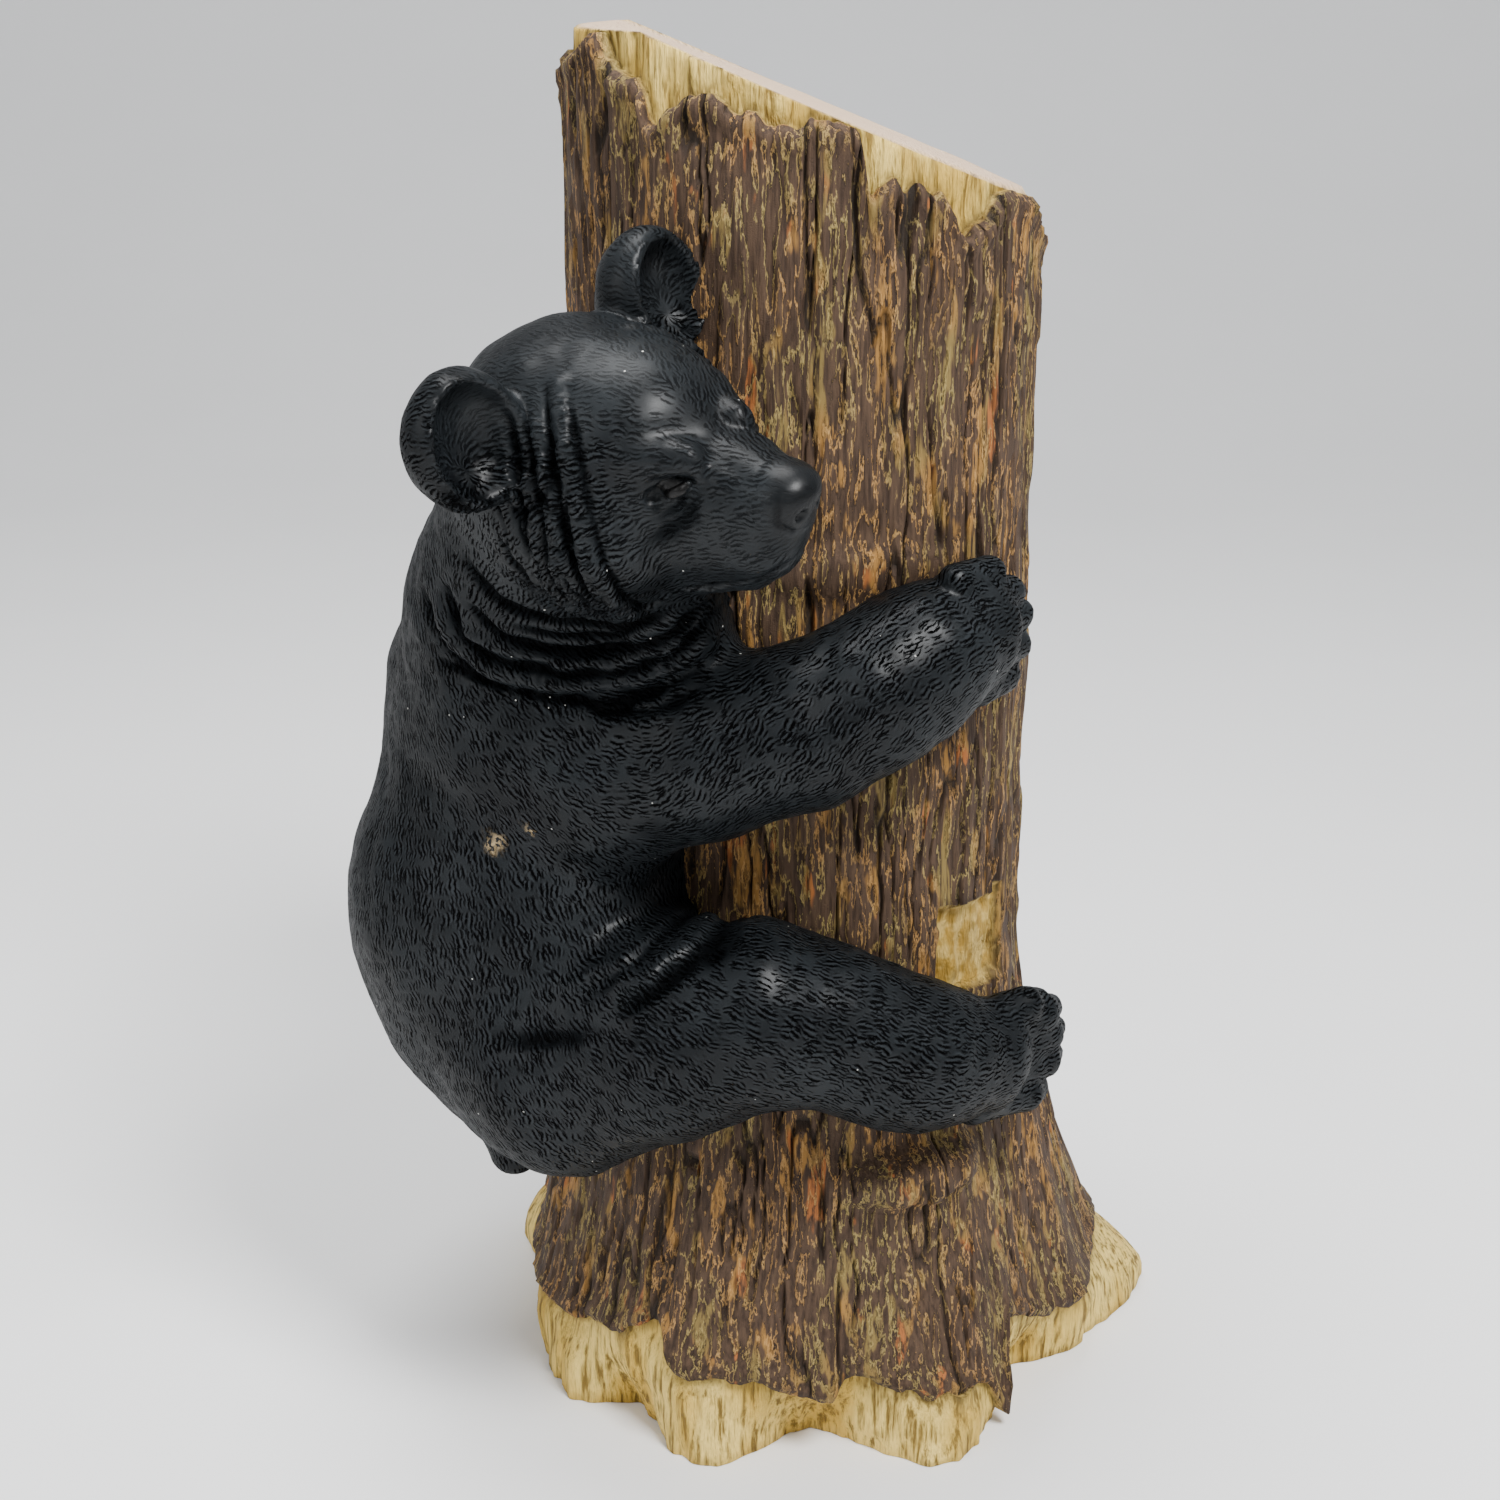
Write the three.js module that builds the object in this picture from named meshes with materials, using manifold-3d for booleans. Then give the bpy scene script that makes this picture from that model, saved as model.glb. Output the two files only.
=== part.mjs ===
// Climbing bear statue: a bear cub hugging a cut tree trunk, cast and painted as one piece.
// Millimetres, +Z up. The origin is on the underside, on the trunk's axis; the front faces -Y.
// Azimuths are in degrees from the front, positive towards +X.
import * as THREE from 'three';
import Module from 'manifold-3d';

// Trunk sizes.
const TRUNK_HEIGHT = 893; // floor to the highest point of the slanting cut
const TRUNK_RADIUS = 145; // outside of the bark, above the root flare
const BARK_THICKNESS = 7; // step from bare wood up to the bark
const FLARE_HEIGHT = 320; // where the root flare starts
const FLARE_POWER = 1.5;
const CUT_SLOPE_SIDE = -0.393; // the cut falls to the right
const CUT_SLOPE_BACK = -0.034; // and a little to the back
const CUT_MID_DROP = 43; // the cut's height on the axis, below the highest point
const CUT_ROUND = 4; // soft edge around the cut
const CUT_RING = 0.6; // ring of points part way across the cut
const FOOT_WOOD_HEIGHT = 70; // bare wood blends into the root tips below this
const RIDGE_DEPTH = 2.4; // vertical bark ridges
const RIDGE_COUNT = 24;
const TRUNK_COLUMNS = 96;
const TRUNK_ROWS = 15; // rows of faces on the bark
const BARK_LOW_MEAN = 55; // about where the bark starts above the floor
const EDGE_FADE = 8; // how soon the ragged edges stop bending the rows of faces

// Root tips on the floor and bark flare above them: [azimuth, radius].
const ROOT_TIPS = [
  [-160, 182], [-125, 240], [-96, 178], [-56, 187], [-42, 160], [-21, 193],
  [3, 142], [29, 204], [63, 158], [80, 209], [103, 264], [138, 190], [172, 228],
];
const BARK_FLARE = [
  [-160, 200], [-125, 232], [-95, 200], [-56, 198], [-20, 207], [3, 192],
  [30, 207], [60, 200], [80, 224], [103, 250], [140, 202], [172, 226],
];
// Ragged bark edges: [azimuth, height of the lower edge] and [azimuth, depth below the cut].
const BARK_LOW_EDGE = [
  [-165, 62], [-140, 44], [-110, 70], [-74, 50], [-44, 69], [-31, 88], [-26, 58], [-12, 62],
  [6, 47], [10, 64], [27, 44], [40, 40], [45, 9], [49, 72], [66, 49], [77, 43], [100, 60], [130, 46],
];
const BARK_TOP_EDGE = [
  [-170, 20], [-150, 34], [-125, 12], [-100, 28], [-78, 16], [-63, 3], [-58, 3], [-55, 18], [-44, 24],
  [-37, 44], [-32, 28], [-27, 15], [-11, 18], [-3, 17], [1, 6], [11, 3], [14, 33], [20, 20],
  [31, 19], [39, 37], [50, 12], [57, 4], [72, 4], [90, 22], [112, 10], [140, 38],
];
// Bare patch above the hind foot, and the rough ledges under the foot and over the forearm.
const PATCH = { azimuth: 50, halfWidth: 14, low: 300, high: 362 };
const LEDGES = [
  { azimuth: 27, halfWidth: 24, height: 192, halfHeight: 24, rise: 15 },
  { azimuth: 12, halfWidth: 30, height: 590, halfHeight: 20, rise: 5 },
];

// Bear sizes. Heights above the floor and radii of forms are shares of the bear's size.
const BEAR_SIZE = 660; // rump to crown
const BEAR_LIFT = 130; // lowest point of the bear's tail above the floor
const BEAR_AZIMUTH = -65; // the bear's middle plane, round the trunk
const HUG_DEPTH = 14; // how far the bear's hidden side reaches into the trunk
const HEAD_TURN = -66.7; // from straight ahead, towards the bear's right
const HEAD_NOD = 2.5;
const HEAD_TILT = 22;

// Folds of skin: [x forward, y to the left, z up] from between the ears, as shares of the size.
const FOLD_RADIUS = 0.015;
const CHEEK_FOLDS = [
  [[0.056, 0.044, 0], [0.078, 0.075, -0.034], [0.083, 0.088, -0.07], [0.086, 0.098, -0.127], [0.083, 0.09, -0.163],
    [0.055, 0.053, -0.205]],
  [[0.054, 0.075, -0.026], [0.061, 0.088, -0.052], [0.066, 0.096, -0.076], [0.061, 0.107, -0.121], [0.03, 0.078, -0.19]],
];
// Toes, as [turn of the tip, height].
const PAW_TOES = [[105, 0.694], [111, 0.671], [114, 0.646], [114, 0.619], [111, 0.593]];
const FOOT_TOES = [[121, 0.266], [127, 0.247], [129, 0.222], [128, 0.196], [122, 0.17]];
// Fold across the throat: [turn, lift, height].
const NECK_FOLD = [[14, 0.172, 0.668], [19, 0.159, 0.638], [28, 0.128, 0.622], [37, 0.097, 0.628], [46, 0.078, 0.656]];

// Web behind the head, which closes the gap between head and trunk: [turn, lift, height], and its radius.
const HEAD_WEB = [[24, 0, 0.93], [28, 0.015, 0.84], [34, 0.015, 0.74], [36, 0.01, 0.64]];
const WEB_RADIUS = 0.042;

// Mesh fineness.
const CELL = 7.5; // grid the bear's surface is first cut on
const BLOCK = 5; // cells to a block of that grid
const FAR = 1000; // stands for well outside
const BEAR_TRIANGLES = 5150;
const HEAD_DETAIL = 5; // how much more faithfully the head keeps its form

const BODY_BLACK = 0x23262a;

const radians = THREE.MathUtils.degToRad;
const smooth = (t) => THREE.MathUtils.smoothstep(t, 0, 1);
const wrap = (degrees) => THREE.MathUtils.euclideanModulo(degrees + 180, 360) - 180;

// Value of a closed outline given as [azimuth, value] pairs, eased between its points.
function roundValue(outline, azimuth) {
  const at = wrap(azimuth);
  let next = outline.findIndex(([a]) => a > at);
  if (next < 0) next = 0;
  const [a1, v1] = outline[next];
  const [a0, v0] = outline[(next + outline.length - 1) % outline.length];
  const span = THREE.MathUtils.euclideanModulo(a1 - a0, 360);
  const part = THREE.MathUtils.euclideanModulo(at - a0, 360) / span;
  return v0 + (v1 - v0) * smooth(part);
}

// Height of the slanting cut at a point.
function cutHeight(x, y) {
  const plane = TRUNK_HEIGHT - CUT_MID_DROP + CUT_SLOPE_SIDE * x + CUT_SLOPE_BACK * y;
  return Math.min(TRUNK_HEIGHT, plane);
}

// Radius of the bark's smooth surface.
function flareRadius(azimuth, z) {
  const share = THREE.MathUtils.clamp(1 - z / FLARE_HEIGHT, 0, 1);
  const spread = roundValue(BARK_FLARE, azimuth) - TRUNK_RADIUS;
  return TRUNK_RADIUS + spread * share ** FLARE_POWER;
}

// Upright ridges, the ledges and the bare patch.
function barkRelief(azimuth, z) {
  const turn = radians(azimuth);
  const sway = 0.5 * Math.sin(z / 70) + 0.4 * Math.sin(z / 31 + 3 * turn);
  let relief = RIDGE_DEPTH * Math.cos(RIDGE_COUNT * turn + sway);
  relief += 0.6 * RIDGE_DEPTH * Math.cos(11 * turn - sway + z / 55);
  for (const ledge of LEDGES) {
    const across = wrap(azimuth - ledge.azimuth) / ledge.halfWidth;
    const up = (z - ledge.height) / ledge.halfHeight;
    relief += ledge.rise * smooth(1.6 * (1 - Math.hypot(across, up)));
  }
  const side = PATCH.halfWidth - Math.abs(wrap(azimuth - PATCH.azimuth));
  const edge = Math.min(side * 2.5, z - PATCH.low, PATCH.high - z);
  return relief - BARK_THICKNESS * smooth(edge / 8);
}

// One ring of the trunk for each height; ring(azimuth) gives [radius, z].
function trunkRings() {
  const low = (a) => roundValue(BARK_LOW_EDGE, a);
  const top = (a) => {
    const x = TRUNK_RADIUS * Math.sin(radians(a));
    const y = -TRUNK_RADIUS * Math.cos(radians(a));
    return cutHeight(x, y);
  };
  const high = (a) => top(a) - roundValue(BARK_TOP_EDGE, a);
  const bark = (a, z) => flareRadius(a, z) + barkRelief(a, z);
  const wood = (a, z) => {
    const trunk = flareRadius(a, z) - BARK_THICKNESS;
    return THREE.MathUtils.lerp(roundValue(ROOT_TIPS, a), trunk, smooth(z / FOOT_WOOD_HEIGHT));
  };
  const rings = [
    (a) => [wood(a, 0), 0],
    (a) => [wood(a, low(a) * 0.3), low(a) * 0.3],
    (a) => [wood(a, low(a) - 1), low(a) - 1],
  ];
  for (let row = 0; row <= TRUNK_ROWS; row += 1) {
    const share = row / TRUNK_ROWS;
    rings.push((a) => {
      // Rows lie level but for the first and last few, which follow the ragged edges.
      const level = THREE.MathUtils.lerp(BARK_LOW_MEAN, top(a), share);
      const fromLow = (low(a) - BARK_LOW_MEAN) * (1 - share) ** EDGE_FADE;
      const fromHigh = (high(a) - top(a)) * share ** EDGE_FADE;
      const z = level + fromLow + fromHigh;
      return [bark(a, z), z];
    });
  }
  rings.push((a) => [wood(a, high(a)), high(a) + 1]);
  rings.push((a) => [wood(a, top(a)), top(a) - CUT_ROUND / 4 + 1]);
  rings.push((a) => [wood(a, top(a)) - CUT_ROUND, top(a) + 1]);
  rings.push((a) => {
    const radius = TRUNK_RADIUS * CUT_RING;
    return [radius, cutHeight(radius * Math.sin(radians(a)), -radius * Math.cos(radians(a))) + 1];
  });
  return rings;
}

// Closed shell through the rings, flat below and flat along the cut above.
function trunkMesh() {
  const rings = trunkRings();
  const points = [];
  const triangles = [];
  rings.forEach((ring, row) => {
    for (let column = 0; column < TRUNK_COLUMNS; column += 1) {
      const azimuth = -180 + (360 * column) / TRUNK_COLUMNS;
      const [radius, z] = ring(azimuth);
      points.push([radius * Math.sin(radians(azimuth)), -radius * Math.cos(radians(azimuth)), z]);
      const beside = (column + 1) % TRUNK_COLUMNS;
      const here = row * TRUNK_COLUMNS + column;
      const right = row * TRUNK_COLUMNS + beside;
      if (row + 1 < rings.length) {
        triangles.push([here, right, right + TRUNK_COLUMNS], [here, right + TRUNK_COLUMNS, here + TRUNK_COLUMNS]);
      }
    }
  });
  const last = (rings.length - 1) * TRUNK_COLUMNS;
  const under = points.push([0, 0, 0]) - 1;
  const above = points.push([0, 0, cutHeight(0, 0) + 1]) - 1;
  for (let column = 0; column < TRUNK_COLUMNS; column += 1) {
    const beside = (column + 1) % TRUNK_COLUMNS;
    triangles.push([under, beside, column], [above, last + column, last + beside]);
  }
  return { points, triangles };
}

// Point beside the trunk: turn from the bear's middle plane, lift off the bark, height.
function beside(turn, lift, height) {
  const azimuth = radians(BEAR_AZIMUTH + turn);
  const radius = TRUNK_RADIUS + lift * BEAR_SIZE;
  const z = BEAR_LIFT + height * BEAR_SIZE;
  return new THREE.Vector3(radius * Math.sin(azimuth), -radius * Math.cos(azimuth), z);
}

// Frame with x out from the trunk's axis, y round it and z up.
function outwardFrame(turn, lift, height) {
  const angle = radians(BEAR_AZIMUTH + turn - 90);
  const frame = new THREE.Matrix4().makeRotationZ(angle);
  return frame.setPosition(beside(turn, lift, height));
}

// Distance fields: negative inside.
function ball(frame, centre, radii) {
  const inverse = frame.clone().multiply(new THREE.Matrix4().makeTranslation(...centre)).invert();
  const m = inverse.elements;
  const [a, b, c] = radii;
  return (x, y, z) => {
    const px = (m[0] * x + m[4] * y + m[8] * z + m[12]) / a;
    const py = (m[1] * x + m[5] * y + m[9] * z + m[13]) / b;
    const pz = (m[2] * x + m[6] * y + m[10] * z + m[14]) / c;
    const k0 = Math.sqrt(px * px + py * py + pz * pz);
    const k1 = Math.sqrt((px / a) ** 2 + (py / b) ** 2 + (pz / c) ** 2);
    return k1 < 1e-9 ? -Math.min(a, b, c) : (k0 * (k0 - 1)) / k1;
  };
}

function limb(from, to, fromRadius, toRadius) {
  const d = to.clone().sub(from);
  const length2 = d.lengthSq();
  return (x, y, z) => {
    const qx = x - from.x;
    const qy = y - from.y;
    const qz = z - from.z;
    const t = Math.min(1, Math.max(0, (qx * d.x + qy * d.y + qz * d.z) / length2));
    const gap = Math.hypot(qx - t * d.x, qy - t * d.y, qz - t * d.z);
    return gap - (fromRadius + (toRadius - fromRadius) * t);
  };
}

const softMin = (a, b, blend) => {
  const h = Math.max(0, blend - Math.abs(a - b)) / blend;
  return Math.min(a, b) - (h * h * blend) / 4;
};

// Head frame: x forward, y to the bear's left, z up, at the middle between the ears.
function headFrame() {
  const heading = radians(BEAR_AZIMUTH + 90 + HEAD_TURN);
  const turn = new THREE.Matrix4().makeRotationZ(heading);
  turn.multiply(new THREE.Matrix4().makeRotationY(radians(-HEAD_NOD)));
  turn.multiply(new THREE.Matrix4().makeRotationX(radians(HEAD_TILT)));
  return turn.setPosition(beside(29.3, 0.151, 0.903));
}

// The bear's forms in the order they are modelled: { field, blend, cut }.
function bearForms() {
  const size = BEAR_SIZE;
  const forms = [];
  const add = (field, blend) => forms.push({ field, blend: blend * size, cut: false });
  const cut = (field, blend) => forms.push({ field, blend: blend * size, cut: true });
  const scaled = (values) => values.map((v) => v * size);

  // Trunk of the body: chest, barrel and rump.
  add(ball(outwardFrame(0, 0.05, 0.53), [0, 0, 0], scaled([0.145, 0.178, 0.165])), 0.06);
  add(ball(outwardFrame(-2, 0.068, 0.34), [0, 0, 0], scaled([0.176, 0.185, 0.2])), 0.06);
  add(ball(outwardFrame(0, 0.045, 0.225), [0, 0, 0], scaled([0.146, 0.17, 0.122])), 0.06);
  // Short tail.
  add(limb(beside(3, 0.108, 0.155), beside(3, 0.103, 0.088), 0.046 * size, 0.025 * size), 0.03);

  for (const side of [1, -1]) {
    const on = (turn, lift, height) => beside(side * turn, lift, height);
    // Shoulder and arm, round to the paw.
    const arm = [
      [on(12, 0.085, 0.55), 0.1], [on(26, 0.06, 0.525), 0.095], [on(46, 0.055, 0.548), 0.076],
      [on(64, 0.05, 0.57), 0.068], [on(78, 0.046, 0.6), 0.064], [on(88, 0.042, 0.627), 0.06],
      [on(99, 0.036, 0.641), 0.053],
    ];
    for (let i = 0; i + 1 < arm.length; i += 1) {
      const [from, fromRadius] = arm[i];
      const [to, toRadius] = arm[i + 1];
      add(limb(from, to, fromRadius * size, toRadius * size), 0.03);
    }
    // Thigh, shank and foot.
    const leg = [
      [on(20, 0.085, 0.235), 0.125], [on(40, 0.075, 0.275), 0.098], [on(56, 0.07, 0.3), 0.082],
      [on(70, 0.065, 0.285), 0.07], [on(80, 0.062, 0.258), 0.066], [on(88, 0.06, 0.242), 0.063],
      [on(101, 0.056, 0.224), 0.056],
    ];
    for (let i = 0; i + 1 < leg.length; i += 1) {
      const [from, fromRadius] = leg[i];
      const [to, toRadius] = leg[i + 1];
      add(limb(from, to, fromRadius * size, toRadius * size), 0.03);
    }
    // Palm against the trunk, and the paw's toes curled over its edge.
    add(limb(on(104, 0.01, 0.66), on(104, 0.01, 0.61), 0.035 * size, 0.035 * size), 0.02);
    for (const [reach, height] of PAW_TOES) {
      add(limb(on(reach - 11, 0.052, height), on(reach, 0.036, height - 0.002), 0.018 * size, 0.016 * size), 0.005);
    }
    // Toes of the foot, fanned out and running into claws.
    for (const [reach, height] of FOOT_TOES) {
      const root = on(reach - 22, 0.062, 0.22 + 0.8 * (height - 0.22));
      const knuckle = on(reach - 9, 0.069, height);
      const nail = on(reach - 4, 0.066, height - 0.005);
      const claw = on(reach, 0.056, height - 0.011);
      add(limb(root, knuckle, 0.023 * size, 0.0195 * size), 0.006);
      add(limb(knuckle, nail, 0.0185 * size, 0.014 * size), 0.004);
      add(limb(nail, claw, 0.0125 * size, 0.005 * size), 0.003);
    }
  }

  // Neck and head.
  const head = headFrame();
  const inHead = (x, y, z) => new THREE.Vector3(x, y, z).multiplyScalar(size).applyMatrix4(head);
  const headBall = (x, y, z, a, b, c) => ball(head, scaled([x, y, z]), scaled([a, b, c]));
  add(limb(beside(8, 0.065, 0.66), inHead(-0.01, 0, -0.1), 0.125 * size, 0.098 * size), 0.05);
  add(headBall(0, 0, -0.08, 0.118, 0.11, 0.106), 0.03);
  add(headBall(0.075, 0, -0.06, 0.078, 0.083, 0.07), 0.03);
  for (const side of [1, -1]) {
    add(headBall(0.04, side * 0.062, -0.125, 0.08, 0.055, 0.07), 0.03);
  }
  // Muzzle, upper lips, chin, throat and nose.
  add(limb(inHead(0.1, 0, -0.098), inHead(0.206, 0, -0.112), 0.068 * size, 0.036 * size), 0.02);
  add(limb(inHead(0.08, 0, -0.15), inHead(0.178, 0, -0.15), 0.054 * size, 0.038 * size), 0.03);
  add(limb(inHead(0.06, 0, -0.176), inHead(0.158, 0, -0.174), 0.044 * size, 0.027 * size), 0.012);
  add(limb(inHead(0.03, 0, -0.17), beside(38, 0.036, 0.62), 0.066 * size, 0.052 * size), 0.03);
  add(headBall(0.231, 0, -0.096, 0.024, 0.025, 0.016), 0.008);
  // Web that joins the far side of the head to the trunk.
  for (let i = 0; i + 1 < HEAD_WEB.length; i += 1) {
    add(limb(beside(...HEAD_WEB[i]), beside(...HEAD_WEB[i + 1]), WEB_RADIUS * size, WEB_RADIUS * size), 0.03);
  }
  for (let i = 0; i + 1 < NECK_FOLD.length; i += 1) {
    add(limb(beside(...NECK_FOLD[i]), beside(...NECK_FOLD[i + 1]), FOLD_RADIUS * size, FOLD_RADIUS * size), 0.012);
  }
  for (const side of [1, -1]) {
    // Ear: a thick rounded cup opening forwards and outwards.
    const ear = head.clone();
    ear.multiply(new THREE.Matrix4().makeTranslation(...scaled([0.012, side * 0.12, -0.006])));
    ear.multiply(new THREE.Matrix4().makeRotationZ(radians(side * 8)));
    add(ball(ear, [0, 0, 0], scaled([0.045, 0.052, 0.061])), 0.012);
    cut(ball(ear, scaled([0.042, 0, 0.003]), scaled([0.05, 0.044, 0.054])), 0.006);
    // Brow, eye socket, eyeball and nostril.
    const brow = [inHead(0.122, side * 0.052, -0.052), inHead(0.158, side * 0.03, -0.062)];
    add(limb(brow[0], brow[1], 0.011 * size, 0.009 * size), 0.014);
    const socket = [inHead(0.137, side * 0.06, -0.083), inHead(0.166, side * 0.045, -0.072)];
    cut(limb(socket[0], socket[1], 0.006 * size, 0.006 * size), 0.006);
    add(headBall(0.15, side * 0.044, -0.079, 0.015, 0.01, 0.008), 0.002);
    cut(headBall(0.247, side * 0.012, -0.116, 0.008, 0.006, 0.006), 0.003);
    // Folds of loose skin down the cheek.
    for (const fold of CHEEK_FOLDS) {
      const line = fold.map(([x, y, z]) => inHead(x, side * y, z));
      for (let i = 0; i + 1 < line.length; i += 1) {
        add(limb(line[i], line[i + 1], FOLD_RADIUS * size, FOLD_RADIUS * size), 0.01);
      }
    }
  }
  return forms;
}

// The whole bear's field, less the hidden part deep in the trunk.
function bearField(forms) {
  const core = TRUNK_RADIUS - BARK_THICKNESS - HUG_DEPTH;
  return (x, y, z) => {
    let d = FAR;
    for (const { field, blend, cut } of forms) {
      const f = field(x, y, z);
      if (cut) {
        if (-f > d - blend) d = -softMin(-d, f, blend);
      } else if (f < d + blend) d = softMin(d, f, blend);
    }
    return Math.max(d, core - Math.hypot(x, y));
  };
}

// Only the forms that can matter within a reach of a point.
function formsNear(forms, x, y, z, reach) {
  return forms.filter(({ field, blend }) => field(x, y, z) < reach + blend);
}

// Surface of the bear by marching tetrahedra: six to a cell, all along its main diagonal.
function polygonise(forms, low, high, cell) {
  const counts = [0, 1, 2].map((i) => Math.ceil((high[i] - low[i]) / cell) + 1);
  const [nx, ny, nz] = counts;
  const index = (i, j, k) => (k * ny + j) * nx + i;
  const value = new Float32Array(nx * ny * nz).fill(FAR);
  const spot = (i, j, k) => [low[0] + i * cell, low[1] + j * cell, low[2] + k * cell];
  // Each block of cells is worked out from the forms that come near it.
  for (let k0 = 0; k0 < nz; k0 += BLOCK) {
    for (let j0 = 0; j0 < ny; j0 += BLOCK) {
      for (let i0 = 0; i0 < nx; i0 += BLOCK) {
        const middle = spot(i0 + BLOCK / 2, j0 + BLOCK / 2, k0 + BLOCK / 2);
        const near = formsNear(forms, ...middle, BLOCK * cell * 2);
        if (near.length === 0) continue;
        const field = bearField(near);
        const clear = Math.abs(field(...middle)) > BLOCK * cell * 1.6;
        for (let k = k0; k < Math.min(nz, k0 + BLOCK); k += 1) {
          for (let j = j0; j < Math.min(ny, j0 + BLOCK); j += 1) {
            for (let i = i0; i < Math.min(nx, i0 + BLOCK); i += 1) {
              value[index(i, j, k)] = clear ? field(...middle) : field(...spot(i, j, k));
            }
          }
        }
      }
    }
  }
  const offsets = [];
  for (let code = 0; code < 8; code += 1) offsets.push(index(code & 1, (code >> 1) & 1, code >> 2));
  const tetrahedra = [[1, 3], [3, 2], [2, 6], [6, 4], [4, 5], [5, 1]].map(([a, b]) => [0, a, b, 7]);
  const points = [];
  const triangles = [];
  const known = new Map();
  const place = (n) => [low[0] + (n % nx) * cell, low[1] + (Math.floor(n / nx) % ny) * cell, low[2] + Math.floor(n / (nx * ny)) * cell];
  const crossing = (n, m) => {
    const key = Math.min(n, m) * 8 + offsets.indexOf(Math.abs(n - m));
    if (!known.has(key)) {
      const t = THREE.MathUtils.clamp(value[n] / (value[n] - value[m]), 0.06, 0.94);
      const a = place(n);
      const b = place(m);
      known.set(key, points.push(a.map((v, i) => v + (b[i] - v) * t)) - 1);
    }
    return known.get(key);
  };
  const emit = (a, b, c, inside) => {
    const [p, q, r] = [a, b, c].map((n) => points[n]);
    const u = q.map((v, i) => v - p[i]);
    const w = r.map((v, i) => v - p[i]);
    const from = place(inside);
    const facing = (u[1] * w[2] - u[2] * w[1]) * (p[0] - from[0])
      + (u[2] * w[0] - u[0] * w[2]) * (p[1] - from[1])
      + (u[0] * w[1] - u[1] * w[0]) * (p[2] - from[2]);
    triangles.push(facing > 0 ? [a, b, c] : [a, c, b]);
  };
  for (let k = 0; k + 1 < nz; k += 1) {
    for (let j = 0; j + 1 < ny; j += 1) {
      for (let i = 0; i + 1 < nx; i += 1) {
        const base = index(i, j, k);
        if (Math.abs(value[base]) > 2.5 * cell) continue;
        for (const corners of tetrahedra) {
          const nodes = corners.map((code) => base + offsets[code]);
          const inner = nodes.filter((n) => value[n] < 0);
          const outer = nodes.filter((n) => value[n] >= 0);
          if (inner.length === 1) emit(...outer.map((n) => crossing(inner[0], n)), inner[0]);
          else if (inner.length === 3) emit(...inner.map((n) => crossing(n, outer[0])), inner[0]);
          else if (inner.length === 2) {
            const ring = [[0, 0], [0, 1], [1, 1], [1, 0]].map(([a, b]) => crossing(inner[a], outer[b]));
            emit(ring[0], ring[1], ring[2], inner[0]);
            emit(ring[0], ring[2], ring[3], inner[0]);
          }
        }
      }
    }
  }
  return { points, triangles };
}

// Smallest-first queue of [cost, ...] entries.
class Queue {
  constructor() { this.items = []; }

  push(item) {
    const { items } = this;
    let n = items.push(item) - 1;
    while (n > 0) {
      const up = (n - 1) >> 1;
      if (items[up][0] <= items[n][0]) break;
      [items[up], items[n]] = [items[n], items[up]];
      n = up;
    }
  }

  pop() {
    const { items } = this;
    const first = items[0];
    const last = items.pop();
    if (items.length) {
      items[0] = last;
      let n = 0;
      for (;;) {
        let down = 2 * n + 1;
        if (down >= items.length) break;
        if (down + 1 < items.length && items[down + 1][0] < items[down][0]) down += 1;
        if (items[n][0] <= items[down][0]) break;
        [items[n], items[down]] = [items[down], items[n]];
        n = down;
      }
    }
    return first;
  }
}

const cross = (p, q, r) => {
  const [ux, uy, uz] = [q[0] - p[0], q[1] - p[1], q[2] - p[2]];
  const [wx, wy, wz] = [r[0] - p[0], r[1] - p[1], r[2] - p[2]];
  return [uy * wz - uz * wy, uz * wx - ux * wz, ux * wy - uy * wx];
};

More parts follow.
